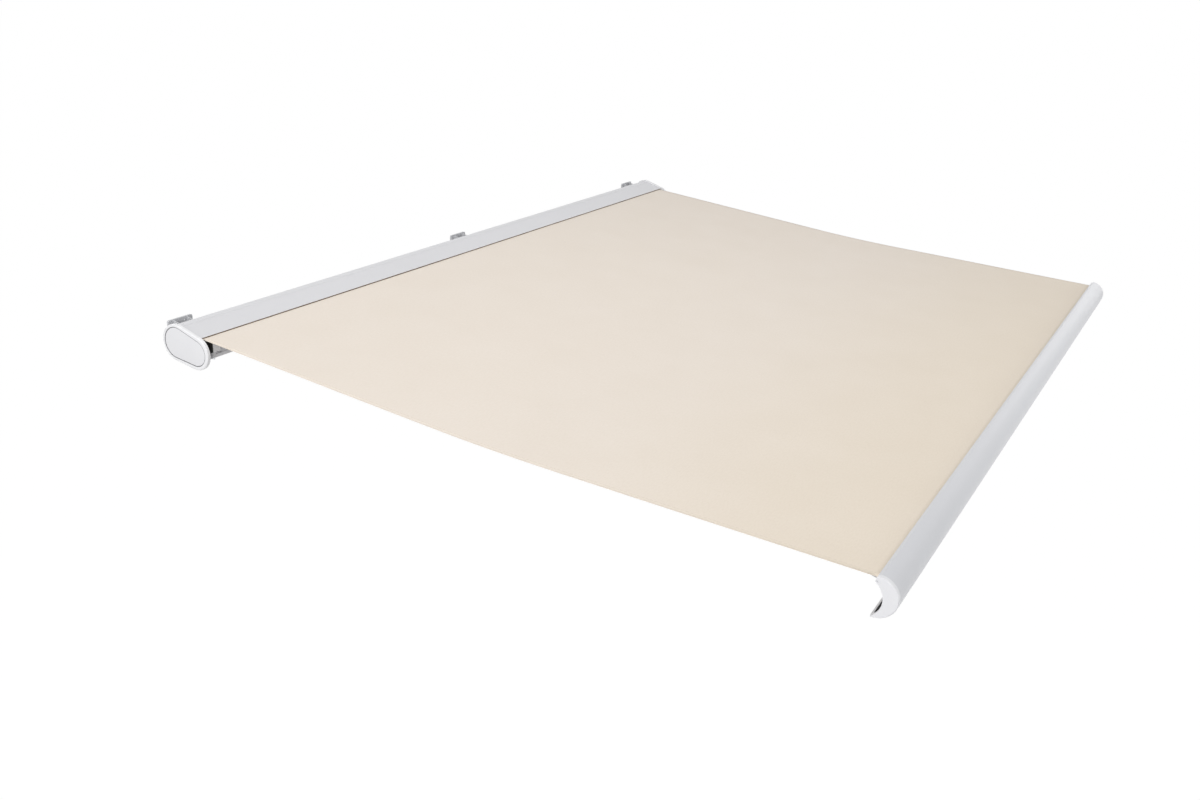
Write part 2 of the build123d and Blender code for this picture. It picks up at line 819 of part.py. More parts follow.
def crescent():
    """Outline of the front bar: hollow behind, to take the cassette's front, and round in front."""
    hollow = concave_radius()
    nose, tip = polar(bar_centre, hollow, nose_angle), polar(bar_centre, hollow, tip_angle)
    belly = bar_centre + Vector(-bar_front_out, bar_front_up)
    low = Vector(belly.X, belly.Y - bar_front_radius)
    crown = polar(belly, bar_front_radius, crown_angle)
    brow = polar(belly, bar_front_radius - brow_depth, brow_angle)
    return make_face(
        [
            ThreePointArc(nose, polar(bar_centre, hollow, 180), tip),
            Line(tip, low),
            ThreePointArc(low, polar(belly, bar_front_radius, 180), crown),
            Line(crown, brow),
            Line(brow, nose),
        ]
    )


def front_bar_profile():
    """Hollow front bar extrusion with the channel for the cloth's welt."""
    section = crescent()
    section -= offset(crescent(), -bar_wall)
    channel = bar_channel()
    section += disc(channel, bar_channel_boss)
    mouth = Pos(channel.X, channel.Y) * Rot(Z=cloth_end_slope()) * Pos(bar_channel_out / 2, 0)
    block = Pos(channel.X, channel.Y) * Rot(Z=cloth_end_slope()) * Pos(bar_channel_boss, 0)
    section += block * Rectangle(2 * bar_channel_boss, 2 * bar_channel_boss) & crescent()
    section -= disc(channel, keyway_radius)
    section -= mouth * Rectangle(bar_channel_out, bar_slot)
    return along(section, -profile_half, profile_half)


def cloth_end_slope():
    """Slope of the cloth where it enters the front bar."""
    direction = cloth_route() % 1
    return math.degrees(math.atan2(-direction.Z, -direction.Y))


def bar_welt():
    """Welt rod that holds the cloth's front edge in the bar."""
    return along(disc(bar_channel(), welt_radius), -cloth_half, cloth_half)


def bar_cap():
    """Left end cap of the front bar, with a tongue in the hollow of the bar."""
    plate = along(crescent(), -half_width, -profile_half)
    belly = bar_centre + Vector(-bar_front_out, bar_front_up)
    outer = plate.faces().sort_by(Axis.X)[0].edges()
    round_edge = outer.sort_by(lambda edge: (edge.center() - Vector(0, belly.X, belly.Y)).Y)[0]
    plate = fillet(round_edge, bar_cap_round)
    tongue = offset(crescent(), -bar_wall - body_gap)
    tongue -= disc(bar_channel(), bar_channel_boss + bar_wall)
    tongue = tongue.faces().sort_by(SortBy.AREA)[-1]
    return plate + along(tongue, -profile_half, -profile_half + cap_thickness)


def bar_seal():
    """Black rubber strip along the inner face of the bar's lower lip."""
    outer = concave_radius() - seat_gap
    ring = disc(bar_centre, outer) - disc(bar_centre, outer - seal_thickness)
    reach = 2 * outer
    keep = area(
        bar_centre,
        polar(bar_centre, reach, seal_start_angle),
        polar(bar_centre, reach, (seal_start_angle + seal_end_angle) / 2),
        polar(bar_centre, reach, seal_end_angle),
    )
    return along(ring & keep, -profile_half, profile_half)


def wrist_frame():
    return Plane(origin=wrist_pivot, x_dir=(1, 0, 0), z_dir=upright)


def wrist_bracket():
    """Bracket in the hollow of the front bar, with two lugs and a flange along the bar."""
    height = wrist_eye_height / 2 + body_gap
    reach = height + wrist_lug
    deep = concave_radius()
    plan = Circle(wrist_radius) + Pos(0, -deep / 2) * Rectangle(2 * wrist_radius, deep)
    lugs = extrude(plan, reach, both=True)
    swept = Cylinder(wrist_radius + 2 * body_gap, 2 * height)
    gap = Pos(0, deep - wrist_radius - 2 * body_gap) * Rectangle(4 * wrist_flange_half, 2 * deep)
    lugs -= swept + extrude(gap, height, both=True)
    bracket = wrist_frame() * lugs
    x = wrist_pivot.X
    outer = along(disc(bar_centre, deep - seat_gap), x - 2 * wrist_radius, x + 2 * wrist_radius)
    bracket &= outer
    ring = disc(bar_centre, deep - seat_gap) - disc(bar_centre, deep - seat_gap - wrist_flange_wall)
    out = math.degrees(math.atan2(outward.Z, outward.Y))
    wedge = area(
        bar_centre,
        polar(bar_centre, 2 * deep, out - wrist_flange_angle),
        polar(bar_centre, 2 * deep, out + wrist_flange_angle),
    )
    bracket += along(ring & wedge, x - wrist_flange_half, x + wrist_flange_half)
    for place in wrist_screw_places():
        bracket -= place * Cylinder(wrist_screw_radius + running_gap, 2 * wrist_flange_wall)
    return bracket - wrist_frame() * Cylinder(wrist_pin_radius + running_gap, 4 * reach)


def wrist_screw_places():
    """Frames square to the bar's hollow face, one each side of the lugs."""
    centre = bar_axis + outward * (concave_radius() - seat_gap)
    reach = (wrist_radius + wrist_flange_half) / 2
    return [
        Plane(
            origin=centre + sideways * (side * reach - shoulder_x), x_dir=(1, 0, 0), z_dir=outward
        )
        for side in (-1, 1)
    ]


def wrist_screws():
    """Countersunk screws of both wrist brackets."""
    screws = []
    for place in wrist_screw_places():
        shank = Pos(0, 0, -wrist_flange_wall / 2)
        screws.append(place * shank * Cylinder(wrist_screw_radius, wrist_flange_wall))
    screws += [mirrored(screw) for screw in screws]
    return Compound(screws)


def wrist_pin():
    """Pin through the wrist bracket's lugs and the forearm's eye."""
    reach = wrist_eye_height / 2 + body_gap + wrist_lug
    pin = Cylinder(wrist_pin_radius, 2 * reach)
    head = Cylinder(wrist_pin_radius + pin_head_rim, pin_head)
    return wrist_frame() * (pin + Pos(0, 0, reach + pin_head / 2) * head)


nodes["cassette_tray"] = cassette_tray()
nodes["top_shell"] = top_shell()
pair("end_cap", end_cap())
pair("cap_insert", cap_insert())
nodes["cap_screws"] = cap_screws()
nodes["left_wall_bracket"] = wall_bracket(-bracket_spacing)
nodes["centre_wall_bracket"] = wall_bracket(0)
nodes["right_wall_bracket"] = wall_bracket(bracket_spacing)
nodes["bracket_clamps"] = bracket_clamps()
nodes["bracket_clamp_screws"] = bracket_clamp_screws()
pair("shoulder_bracket", shoulder_bracket())
pair("shoulder_pin", shoulder_pin())
nodes["shoulder_screws"] = shoulder_screws()
nodes["tilt_screws"] = tilt_screws()
nodes["idler_end_plate"] = idler_end_plate()
nodes["motor_end_plate"] = motor_end_plate()
nodes["tubular_motor"] = tubular_motor()
nodes["roller_tube"] = roller_tube()
nodes["roller_welt"] = roller_welt()
nodes["wound_cloth"] = wound_cloth()
nodes["idler_plug"] = idler_plug()
nodes["motor_crown"] = motor_crown()
nodes["motor_drive_wheel"] = motor_drive_wheel()
nodes["cloth_cover"] = cloth_cover()
pair("shoulder_knuckle", upper_frame() * shoulder_knuckle())
pair("upper_arm_tube", upper_frame() * arm_tube(0, elbow_shift))
pair("elbow_fork", upper_frame() * elbow_fork())
pair("elbow_pin", upper_frame() * elbow_pin())
pair("arm_spring", upper_frame() * arm_spring())
pair("elbow_eye", fore_frame() * elbow_eye())
pair("forearm_tube", fore_frame() * arm_tube(elbow_shift, 0))
pair("wrist_eye", fore_frame() * wrist_eye())
nodes["front_bar_profile"] = front_bar_profile()
nodes["bar_welt"] = bar_welt()
nodes["bar_seal"] = bar_seal()
pair("bar_cap", bar_cap())
pair("wrist_bracket", wrist_bracket())
pair("wrist_pin", wrist_pin())
nodes["wrist_screws"] = wrist_screws()

for name, shape in nodes.items():
    export_step(shape, f"parts/{name}.step")

swing = math.degrees(closed_angle - open_angle)
print("shoulder swing in degrees", round(swing, 3))
print("shoulder pivot", shoulder_pivot, "elbow pivot", elbow_pivot, "wrist pivot", wrist_pivot)
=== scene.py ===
import math

import bmesh
import bpy
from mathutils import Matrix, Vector, noise


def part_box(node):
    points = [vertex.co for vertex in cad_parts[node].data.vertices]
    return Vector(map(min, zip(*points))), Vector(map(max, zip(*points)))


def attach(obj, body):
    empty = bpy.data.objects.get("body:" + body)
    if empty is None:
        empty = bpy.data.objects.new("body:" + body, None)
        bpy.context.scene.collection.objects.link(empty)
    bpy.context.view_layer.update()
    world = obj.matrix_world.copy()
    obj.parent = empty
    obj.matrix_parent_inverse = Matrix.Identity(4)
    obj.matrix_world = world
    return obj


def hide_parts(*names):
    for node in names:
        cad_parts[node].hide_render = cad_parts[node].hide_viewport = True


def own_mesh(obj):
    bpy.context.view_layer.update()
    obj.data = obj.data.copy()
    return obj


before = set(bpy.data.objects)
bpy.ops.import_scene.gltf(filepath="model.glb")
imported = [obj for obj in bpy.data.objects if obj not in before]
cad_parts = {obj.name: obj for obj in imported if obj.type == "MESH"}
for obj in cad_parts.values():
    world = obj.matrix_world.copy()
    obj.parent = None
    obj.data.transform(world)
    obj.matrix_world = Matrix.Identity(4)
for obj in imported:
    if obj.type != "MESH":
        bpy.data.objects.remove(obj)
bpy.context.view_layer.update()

# The view of the photograph: from above the left end, along the cloth towards the far end of the
# front bar. The place and the direction were worked out from the four corners of the cloth.
FOCAL_PIXELS = 1170.39
IMAGE_WIDTH = 1200
SENSOR_WIDTH = 36.0
camera = bpy.data.objects.new("camera", bpy.data.cameras.new("camera"))
camera.data.sensor_width = SENSOR_WIDTH
camera.data.lens = SENSOR_WIDTH * FOCAL_PIXELS / IMAGE_WIDTH
camera.data.clip_end = 500
camera.location = (-5.0178, -3.7724, 1.3749)
camera.rotation_mode = "QUATERNION"
camera.rotation_quaternion = Vector((0.81498, 0.46818, -0.34150)).to_track_quat("-Z", "Y")
bpy.context.scene.collection.objects.link(camera)
bpy.context.scene.camera = camera
bpy.context.scene.view_settings.view_transform = "Standard"

# The studio: a white floor 7 m down, so that the arms can be seen from below, and a white world.
# Camera and glossy rays see both white, other rays see a matt floor, which keeps a faint shadow.
FLOOR_DEPTH = 7.0
FLOOR_SIZE = 500.0
FLOOR_GLOW = 1.07
GLOW_SHARE = 0.9
WORLD_LIGHT = 0.46
WHITE = (1, 1, 1, 1)


def add(tree, kind, inputs=(), **settings):
    """Adds a node. Settings are its own properties; inputs are values, or outputs to link."""
    node = tree.nodes.new("ShaderNode" + kind)
    for name, value in settings.items():
        setattr(node, name, value)
    for name, value in dict(inputs).items():
        if isinstance(value, bpy.types.NodeSocket):
            tree.links.new(value, node.inputs[name])
        else:
            node.inputs[name].default_value = value
    return node


def seen(tree):
    """1 for rays that come straight from the camera or by way of gloss or glass."""
    path = add(tree, "LightPath").outputs
    gloss = add(tree, "Math", {0: path["Is Glossy Ray"], 1: path["Is Transmission Ray"]}, operation="MAXIMUM")
    both = add(tree, "Math", {0: path["Is Camera Ray"], 1: gloss.outputs[0]}, operation="MAXIMUM")
    return both.outputs[0]


world = bpy.data.worlds.new("studio")
world.use_nodes = True
sky = world.node_tree
sky.nodes.clear()
even_light = add(sky, "Background", {"Color": WHITE, "Strength": WORLD_LIGHT})
white_sky = add(sky, "Background", {"Color": WHITE, "Strength": 1.0})
choice = add(sky, "MixShader", {0: seen(sky), 1: even_light.outputs[0], 2: white_sky.outputs[0]})
add(sky, "OutputWorld", {"Surface": choice.outputs[0]})
bpy.context.scene.world = world

bm = bmesh.new()
bmesh.ops.create_grid(bm, x_segments=1, y_segments=1, size=FLOOR_SIZE / 2)
bmesh.ops.translate(bm, verts=bm.verts, vec=(0, 0, -FLOOR_DEPTH))
floor = bpy.data.objects.new("floor", bpy.data.meshes.new("floor"))
bm.to_mesh(floor.data)
bm.free()
bpy.context.scene.collection.objects.link(floor)
pale_floor = bpy.data.materials.new("pale_floor")
pale_floor.use_nodes = True
tree = pale_floor.node_tree
tree.nodes.clear()
matt = add(tree, "BsdfDiffuse", {"Color": (0.8, 0.8, 0.8, 1)})
glow = add(tree, "Emission", {"Color": WHITE, "Strength": FLOOR_GLOW})
share = add(tree, "Math", {0: seen(tree), 1: GLOW_SHARE}, operation="MULTIPLY")
mixed = add(tree, "MixShader", {0: share.outputs[0], 1: matt.outputs[0], 2: glow.outputs[0]})
add(tree, "OutputMaterial", {"Surface": mixed.outputs[0]})
floor.data.materials.append(pale_floor)


# The light: six soft square windows round the part, the strong ones to the left, above and in front,
# so that the bar's round shades from its nose down and the end cap's rim stays brighter than its side.
def softbox(name, place, target, size, level):
    """An area lamp whose light reaches its target at a share of full daylight level."""
    lamp = bpy.data.objects.new(name, bpy.data.lights.new(name, "AREA"))
    lamp.data.shape = "SQUARE"
    lamp.data.size = size
    distance = (Vector(target) - Vector(place)).length
    lamp.data.energy = level * (math.pi * distance) ** 2
    lamp.location = place
    lamp.rotation_mode = "QUATERNION"
    lamp.rotation_quaternion = (Vector(target) - Vector(place)).to_track_quat("-Z", "Y")
    bpy.context.scene.collection.objects.link(lamp)


softbox("side_window", (-9.0, -2.0, 3.0), (-1.5, -1.0, -0.1), 4.0, 0.16)
softbox("high_side_window", (-7.5, -1.0, 4.8), (-0.5, -1.3, -0.2), 4.0, 0.25)
softbox("front_window", (0.5, -8.0, -0.6), (0.0, -3.0, -0.3), 4.0, 0.45)
softbox("roof_light", (0.0, -1.5, 5.0), (0.0, -1.5, 0.0), 4.0, 0.30)
softbox("far_side_window", (9.0, -3.0, 1.0), (2.0, -0.5, -0.1), 4.0, 0.10)
softbox("low_side_window", (-8.0, -3.0, -0.8), (-2.0, -0.5, -0.1), 3.0, 0.21)

# End caps: cast aluminium plates of egg outline, 15 mm thick, with a soft rounded rim and a sunk
# bed for the trim, screwed to the ends of the cassette and coated white.
BACK_RADIUS = 0.0765
FRONT_RADIUS = 0.070
CENTRE_SPACING = 0.1048
CASSETTE_TILT = math.radians(15.5)
CAP_ROUND = 0.005
TRIM_BACK_MARGIN = 0.0136
TRIM_FRONT_MARGIN = 0.0170
TRIM_GAP = 0.0026
TRIM_BED = 0.005
BED_LIP = 0.0006
RIM_FALL = 0.0001
ARC_STEPS = 40
OWN_MERGE = 1e-6
SMOOTH_BELOW = 35
cap_low, cap_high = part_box("left_end_cap")
cap_face, row_half = -cap_low.x, -cap_high.x
back_centre = Vector((0, cap_high.y - BACK_RADIUS, 0))
front_centre = back_centre - CENTRE_SPACING * Vector((0, math.cos(CASSETTE_TILT), math.sin(CASSETTE_TILT)))
hole_back, hole_front = BACK_RADIUS - TRIM_BACK_MARGIN, FRONT_RADIUS - TRIM_FRONT_MARGIN
bed_back, bed_front = hole_back + TRIM_GAP, hole_front + TRIM_GAP


def linear(hex_code):
    """Linear colour of an sRGB hex value."""
    parts = [int(hex_code[k : k + 2], 16) / 255 for k in (0, 2, 4)]
    return [p / 12.92 if p <= 0.04045 else ((p + 0.055) / 1.055) ** 2.4 for p in parts] + [1.0]


def new_finish(name):
    """A material with its node tree, its shader and the place on the object in metres."""
    material = bpy.data.materials.new(name)
    material.use_nodes = True
    tree = material.node_tree
    return material, tree, tree.nodes["Principled BSDF"], add(tree, "TexCoord").outputs["Object"]


def dimpled(name, colour, roughness=0.36, peel=0.08, shine=0.5):
    """A coat or a moulded skin: a shade of cloudiness and fine dimples, as powder and plastic have
    them, drawn about 4 mm wide, three times their real size, so that they show."""
    material, tree, shader, place = new_finish(name)
    cloud = add(tree, "TexNoise", {"Vector": place, "Scale": 2.2, "Detail": 2.0})
    pale, deep = linear(colour), [c * 0.965 for c in linear(colour)[:3]] + [1.0]
    tint = add(tree, "Mix", {0: cloud.outputs[0], 6: deep, 7: pale}, data_type="RGBA")
    tree.links.new(tint.outputs[2], shader.inputs["Base Color"])
    dimples = add(tree, "TexNoise", {"Vector": place, "Scale": 250.0, "Detail": 1.0})
    bump = add(tree, "Bump", {"Height": dimples.outputs[0], "Strength": peel, "Distance": 0.0004})
    tree.links.new(bump.outputs[0], shader.inputs["Normal"])
    shader.inputs["Roughness"].default_value = roughness
    shader.inputs["Specular IOR Level"].default_value = shine
    shader.inputs["IOR"].default_value = 1.5
    return material


def polar(centre, radius, angle):
    """A point on a circle, seen along the row; the angle runs from the wall upwards."""
    return centre + radius * Vector((0, math.cos(angle), math.sin(angle)))


def arc(bm, centre, radius, start, end, steps=ARC_STEPS):
    """Spins one vertex round a centre, across the row; returns the vertices from start to end."""
    first = bm.verts.new(polar(centre, radius, start))
    bmesh.ops.spin(bm, geom=[first], cent=centre, axis=(1, 0, 0), angle=end - start, steps=steps)
    chain, edge = [first], None
    while True:
        onward = [e for e in chain[-1].link_edges if e is not edge]
        if not onward:
            return chain
        edge = onward[0]
        chain.append(edge.other_vert(chain[-1]))


def ring(bm, chains, x):
    """Closes the stretches of an outline into one loop at a place along the row."""
    vertices = [v for chain in chains for v in chain]
    for v in vertices:
        v.co.x = x
    around = zip(vertices, vertices[1:] + vertices[:1])
    return [bm.edges.get(ends) or bm.edges.new(ends) for ends in around]


def tangent_turn(back_r, front_r):
    """How far round its circles the egg's straight sides touch them, from its middle line."""
    return math.acos((front_r - back_r) / CENTRE_SPACING)


def egg_ring(bm, back_r, front_r, x):
    """The egg outline of the cassette with other radii, as one loop."""
    turn = tangent_turn(back_r, front_r)
    back = arc(bm, back_centre, back_r, CASSETTE_TILT - turn, CASSETTE_TILT + turn)
    front = arc(bm, front_centre, front_r, CASSETTE_TILT + turn, CASSETTE_TILT + 2 * math.pi - turn)
    return ring(bm, [back, front], x)


def skin(bm, rings):
    """Joins each loop to the next one with a band of faces and closes the first and the last."""
    for one, other in zip(rings, rings[1:]):
        bmesh.ops.bridge_loops(bm, edges=one + other)
    bmesh.ops.contextual_create(bm, geom=rings[0])
    bmesh.ops.contextual_create(bm, geom=rings[-1])


def place_piece(bm, name, material, body, sharp, edge=0):
    """Turns mesh work into an object that moves with a body; edge is the width of a bevel."""
    made = bpy.data.objects.new(name, bpy.data.meshes.new(name))
    bm.to_mesh(made.data)
    bm.free()
    made.data.shade_smooth()
    made.data.set_sharp_from_angle(angle=math.radians(sharp))
    made.data.materials.append(material)
    bpy.context.scene.collection.objects.link(made)
    if edge:
        bevel = made.modifiers.new("broken_edges", "BEVEL")
        bevel.width = edge
        bevel.segments = 2
        bevel.limit_method = "ANGLE"
        bevel.angle_limit = math.radians(sharp)
    weighted = made.modifiers.new("weighted_normals", "WEIGHTED_NORMAL")
    weighted.keep_sharp = True
    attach(made, body)
    return made


def keep_piece(bm, name, material, body, sharp=SMOOTH_BELOW, merge=True):
    """Closes the seams of a shape made here, turns its faces outwards and places it."""
    if merge:
        bmesh.ops.remove_doubles(bm, verts=bm.verts, dist=OWN_MERGE)
    bmesh.ops.recalc_face_normals(bm, faces=bm.faces)
    return place_piece(bm, name, material, body, sharp)


def round_over(outer, depth, steps=6):
    """Steps (inset, place) of a quarter round from the side of a plate to its face at outer."""
    turns = [math.pi / 2 * k / steps for k in range(steps + 1)]
    return [(depth * (1 - math.cos(t)), outer - depth * (1 - math.sin(t))) for t in turns]


# White polyester powder is even and satin, with a fine orange peel; on the caps it is the whitest.
white_cast = dimpled("white_powder_coated_casting", "F1F1F3", roughness=0.4)
for side, name in ((-1, "left_end_cap"), (1, "right_end_cap")):
    bm = bmesh.new()
    steps = [(0, row_half)] + round_over(cap_face, CAP_ROUND)
    rings = [egg_ring(bm, BACK_RADIUS - d, FRONT_RADIUS - d, side * x) for d, x in steps]
    for grow, x in ((BED_LIP, cap_face - RIM_FALL), (0, cap_face - BED_LIP), (0, cap_face - TRIM_BED)):
        rings.append(egg_ring(bm, bed_back + grow, bed_front + grow, side * x))
    skin(bm, rings)
    cap = keep_piece(bm, name + "_casting", white_cast, "cassette")
    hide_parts(name)

# Trims: moulded ASA ovals clipped into the end caps, with a crown of 2.2 mm and a small rounded
# edge. ASA is a fine matt plastic, a touch duller than the paint round it.
TRIM_CROWN = 0.0022
TRIM_ROUND = 0.0016
TRIM_PLAY = 0.0004
CROWN_SHARES = (0.06, 0.14, 0.25, 0.38, 0.52, 0.68, 0.85, 0.97)
trim_plastic, tree, shader, place = new_finish("moulded_asa_trim")
# The mould's grain of 1 mm is drawn 3 mm wide, so that it shows.
grain = add(tree, "TexVoronoi", {"Vector": place, "Scale": 320.0}, feature="SMOOTH_F1")
bump = add(tree, "Bump", {"Height": grain.outputs[0], "Strength": 0.12, "Distance": 0.0003})
tree.links.new(bump.outputs[0], shader.inputs["Normal"])
mottle = add(tree, "TexNoise", {"Vector": place, "Scale": 9.0, "Detail": 2.0})
tint = add(tree, "Mix", {0: mottle.outputs[0], 6: linear("E5E5E8"), 7: linear("E9E9EB")}, data_type="RGBA")
tree.links.new(tint.outputs[2], shader.inputs["Base Color"])
shader.inputs["Roughness"].default_value = 0.5
shader.inputs["IOR"].default_value = 1.48
trim_back, trim_front = hole_back - TRIM_PLAY, hole_front - TRIM_PLAY
for side, name in ((-1, "left_cap_insert"), (1, "right_cap_insert")):
    bed, face = sorted(abs(corner.x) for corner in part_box(name))
    bm = bmesh.new()
    edge_face = face - TRIM_CROWN
    steps = [(0, bed)] + round_over(edge_face, TRIM_ROUND, 4)
    for share in CROWN_SHARES:
        inset = TRIM_ROUND + share * (trim_front - 2 * TRIM_ROUND)
        steps.append((inset, edge_face + TRIM_CROWN * math.sin(share * math.pi / 2)))
    skin(bm, [egg_ring(bm, trim_back - d, trim_front - d, side * x) for d, x in steps])
    trim = keep_piece(bm, name + "_trim", trim_plastic, "cassette")
    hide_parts(name)

# Gap rings: a ring of grey with a foam grain lies in the gap round each trim. Its grey is painted shade for
# that gap: it has no shine, and its grey makes the thin dark line round the oval that the photograph shows.
SHADE_RING_SINK = 0.0012
gap_shade_ring_finish, tree, shader, place = new_finish("grey_ring_painted_gap_shade")
# Pores of 0.4 mm are drawn 1.1 mm wide.
pores = add(tree, "TexVoronoi", {"Vector": place, "Scale": 900.0})
# Grey from 78787B to 9A9A9D: painted shade in the gap round the trim.
tint = add(tree, "Mix", {0: pores.outputs[0], 6: linear("78787B"), 7: linear("9A9A9D")}, data_type="RGBA")
tree.links.new(tint.outputs[2], shader.inputs["Base Color"])
bump = add(tree, "Bump", {"Height": pores.outputs[0], "Strength": 0.4, "Distance": 0.0003})
tree.links.new(bump.outputs[0], shader.inputs["Normal"])
shader.inputs["Roughness"].default_value = 0.95
for side, name in ((-1, "left_cap_gap_shade_ring"), (1, "right_cap_gap_shade_ring")):
    bm = bmesh.new()
    bed, top = cap_face - TRIM_BED + RIM_FALL, cap_face - SHADE_RING_SINK
    loops = [egg_ring(bm, hole_back, hole_front, side * x) for x in (bed, top)]
    for x in (top, bed):
        loops.append(egg_ring(bm, bed_back - RIM_FALL, bed_front - RIM_FALL, side * (x - RIM_FALL)))
    for one, other in zip(loops, loops[1:] + loops[:1]):
        bmesh.ops.bridge_loops(bm, edges=one + other)
    keep_piece(bm, name, gap_shade_ring_finish, "cassette")

# Cassette shells: two long aluminium extrusions that meet in a seam above the back, between the end
# caps. The top shell has a flat flute along it and ends in a lip over the cloth; the tray has hook
# rails, screw ports and a front lip. The white coat shows each plane as one even, slightly grey tone.
CAP_OVERHANG = 0.0065
TOP_WALL = 0.0025
TRAY_WALL = 0.004
TRAY_STEPS = 64
SHELL_START = math.radians(50)
SHELL_SEAM = 0.0002
FLUTE_WIDTH = 0.011
FLUTE_DEPTH = 0.0007
LIP_ROUND = 0.0009
TRAY_LIP_WALL = 0.003
TRAY_LIP_HEIGHT = 0.012
RAIL_ANGLE = math.radians(42)
RAIL_REACH = 0.006
RAIL_THICKNESS = 0.005
RAIL_NICK = 0.0005
LOW_PORT_ANGLE = math.radians(-75)
PORT_CIRCLE = 0.059
PORT_BORE = 0.0022
CIRCLE_STEPS = 32
shell_back, shell_front = BACK_RADIUS - CAP_OVERHANG, FRONT_RADIUS - CAP_OVERHANG
upper = CASSETTE_TILT + tangent_turn(shell_back, shell_front)
lower = CASSETTE_TILT - tangent_turn(shell_back, shell_front)


def spot(bm, point):
    """A stretch of an outline that is one point."""
    return [bm.verts.new(point)]


def circle(bm, centre, radius, x):
    """A circle as one loop; the ring closes its last side."""
    whole = 2 * math.pi * (CIRCLE_STEPS - 1) / CIRCLE_STEPS
    return ring(bm, [arc(bm, centre, radius, 0, whole, CIRCLE_STEPS - 1)], x)


def lengthen(bm, faces, length):
    """Extrudes faces along the row."""
    made = bmesh.ops.extrude_face_region(bm, geom=faces)["geom"]
    moved = [v for v in made if isinstance(v, bmesh.types.BMVert)]
    bmesh.ops.translate(bm, verts=moved, vec=(length, 0, 0))


def pull(bm, chains, start, end):
    """Pulls a closed outline along the row into an extrusion."""
    face = bmesh.ops.contextual_create(bm, geom=ring(bm, chains, start))["faces"]
    lengthen(bm, face, end - start)


white_shell = dimpled("white_powder_coated_extrusion", "DEDEE1")
bm = bmesh.new()
along_top = Vector((0, -math.sin(upper), math.cos(upper)))
down_top = -Vector((0, math.cos(upper), math.sin(upper)))
flute_start = polar(back_centre, shell_back, upper)
flute_end = flute_start + FLUTE_WIDTH * along_top
lip = polar(front_centre, shell_front, upper)
gap_angle = SHELL_SEAM / shell_back
outline = [
    arc(bm, back_centre, shell_back, SHELL_START + gap_angle, upper),
    spot(bm, flute_start + FLUTE_DEPTH * down_top),
    spot(bm, flute_end + FLUTE_DEPTH * down_top),
    spot(bm, flute_end),
    spot(bm, lip - LIP_ROUND * along_top),
    spot(bm, lip + LIP_ROUND * down_top),
    spot(bm, lip + (TOP_WALL - LIP_ROUND) * down_top),
    spot(bm, lip + TOP_WALL * down_top - LIP_ROUND * along_top),
    arc(bm, back_centre, shell_back - TOP_WALL, upper, SHELL_START + gap_angle),
]
pull(bm, outline, -row_half, row_half)
top_shell = keep_piece(bm, "cassette_top_shell", white_shell, "cassette")
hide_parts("top_shell")

bm = bmesh.new()
belly = polar(back_centre, shell_back, lower)
slope = math.tan(lower + math.pi / 2)
lip_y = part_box("cassette_tray")[0].y
foot = belly.z + (lip_y - belly.y) * slope
inside = TRAY_WALL / math.cos(lower + math.pi / 2)
lip_top = foot + TRAY_WALL / 2 + TRAY_LIP_HEIGHT
outline = [
    arc(bm, back_centre, shell_back, SHELL_START, lower, TRAY_STEPS),
    spot(bm, (0, lip_y, foot)),
    spot(bm, (0, lip_y, lip_top - LIP_ROUND)),
    spot(bm, (0, lip_y + LIP_ROUND, lip_top)),
    spot(bm, (0, lip_y + TRAY_LIP_WALL - LIP_ROUND, lip_top)),
    spot(bm, (0, lip_y + TRAY_LIP_WALL, lip_top - LIP_ROUND)),
    spot(bm, (0, lip_y + TRAY_LIP_WALL, foot + TRAY_LIP_WALL * slope + inside)),
    arc(bm, back_centre, shell_back - TRAY_WALL, lower, SHELL_START, TRAY_STEPS),
]
pull(bm, outline, -row_half, row_half)
for angle in (RAIL_ANGLE, -RAIL_ANGLE):
    root = polar(back_centre, shell_back - TRAY_WALL / 2, angle)
    out = Vector((0, math.cos(angle), math.sin(angle)))
    across = Vector((0, -math.sin(angle), math.cos(angle))) * RAIL_THICKNESS / 2
    reach = out * (RAIL_REACH + TRAY_WALL / 2)
    under, over = root + reach - across, root + reach + across
    nick_out, nick_across = out * RAIL_NICK, across.normalized() * RAIL_NICK
    corners = [root - across, under - nick_out, under + nick_across]
    corners += [over - nick_across, over - nick_out, root + across]
    pull(bm, [spot(bm, corner) for corner in corners], -row_half, row_half)
for angle in (RAIL_ANGLE, -RAIL_ANGLE, LOW_PORT_ANGLE):
    port = polar(back_centre, PORT_CIRCLE, angle)
    wall = circle(bm, port, shell_back - TRAY_WALL / 2 - PORT_CIRCLE, -row_half)
    bore = circle(bm, port, PORT_BORE, -row_half)
    lengthen(bm, bmesh.ops.bridge_loops(bm, edges=wall + bore)["faces"], 2 * row_half)
tray = keep_piece(bm, "cassette_tray_extrusion", white_shell, "cassette")
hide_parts("cassette_tray")

# Lip brush: a strip of brown nylon pile, glued round the lip of the top shell from its front face
# to its underside. It sweeps leaves off the cloth as that goes in, and closes the gap above it.
# Its dark brown is painted shadow: the strip stands in for the shade in the gap between shell and cloth, as a
# thin brown line.
BRUSH_FRONT = 0.0008
BRUSH_THICKNESS = 0.0038
BRUSH_HEIGHT = 0.0026
lip_pile_painted_shadow, tree, shader, place = new_finish("brown_pile_painted_shadow")
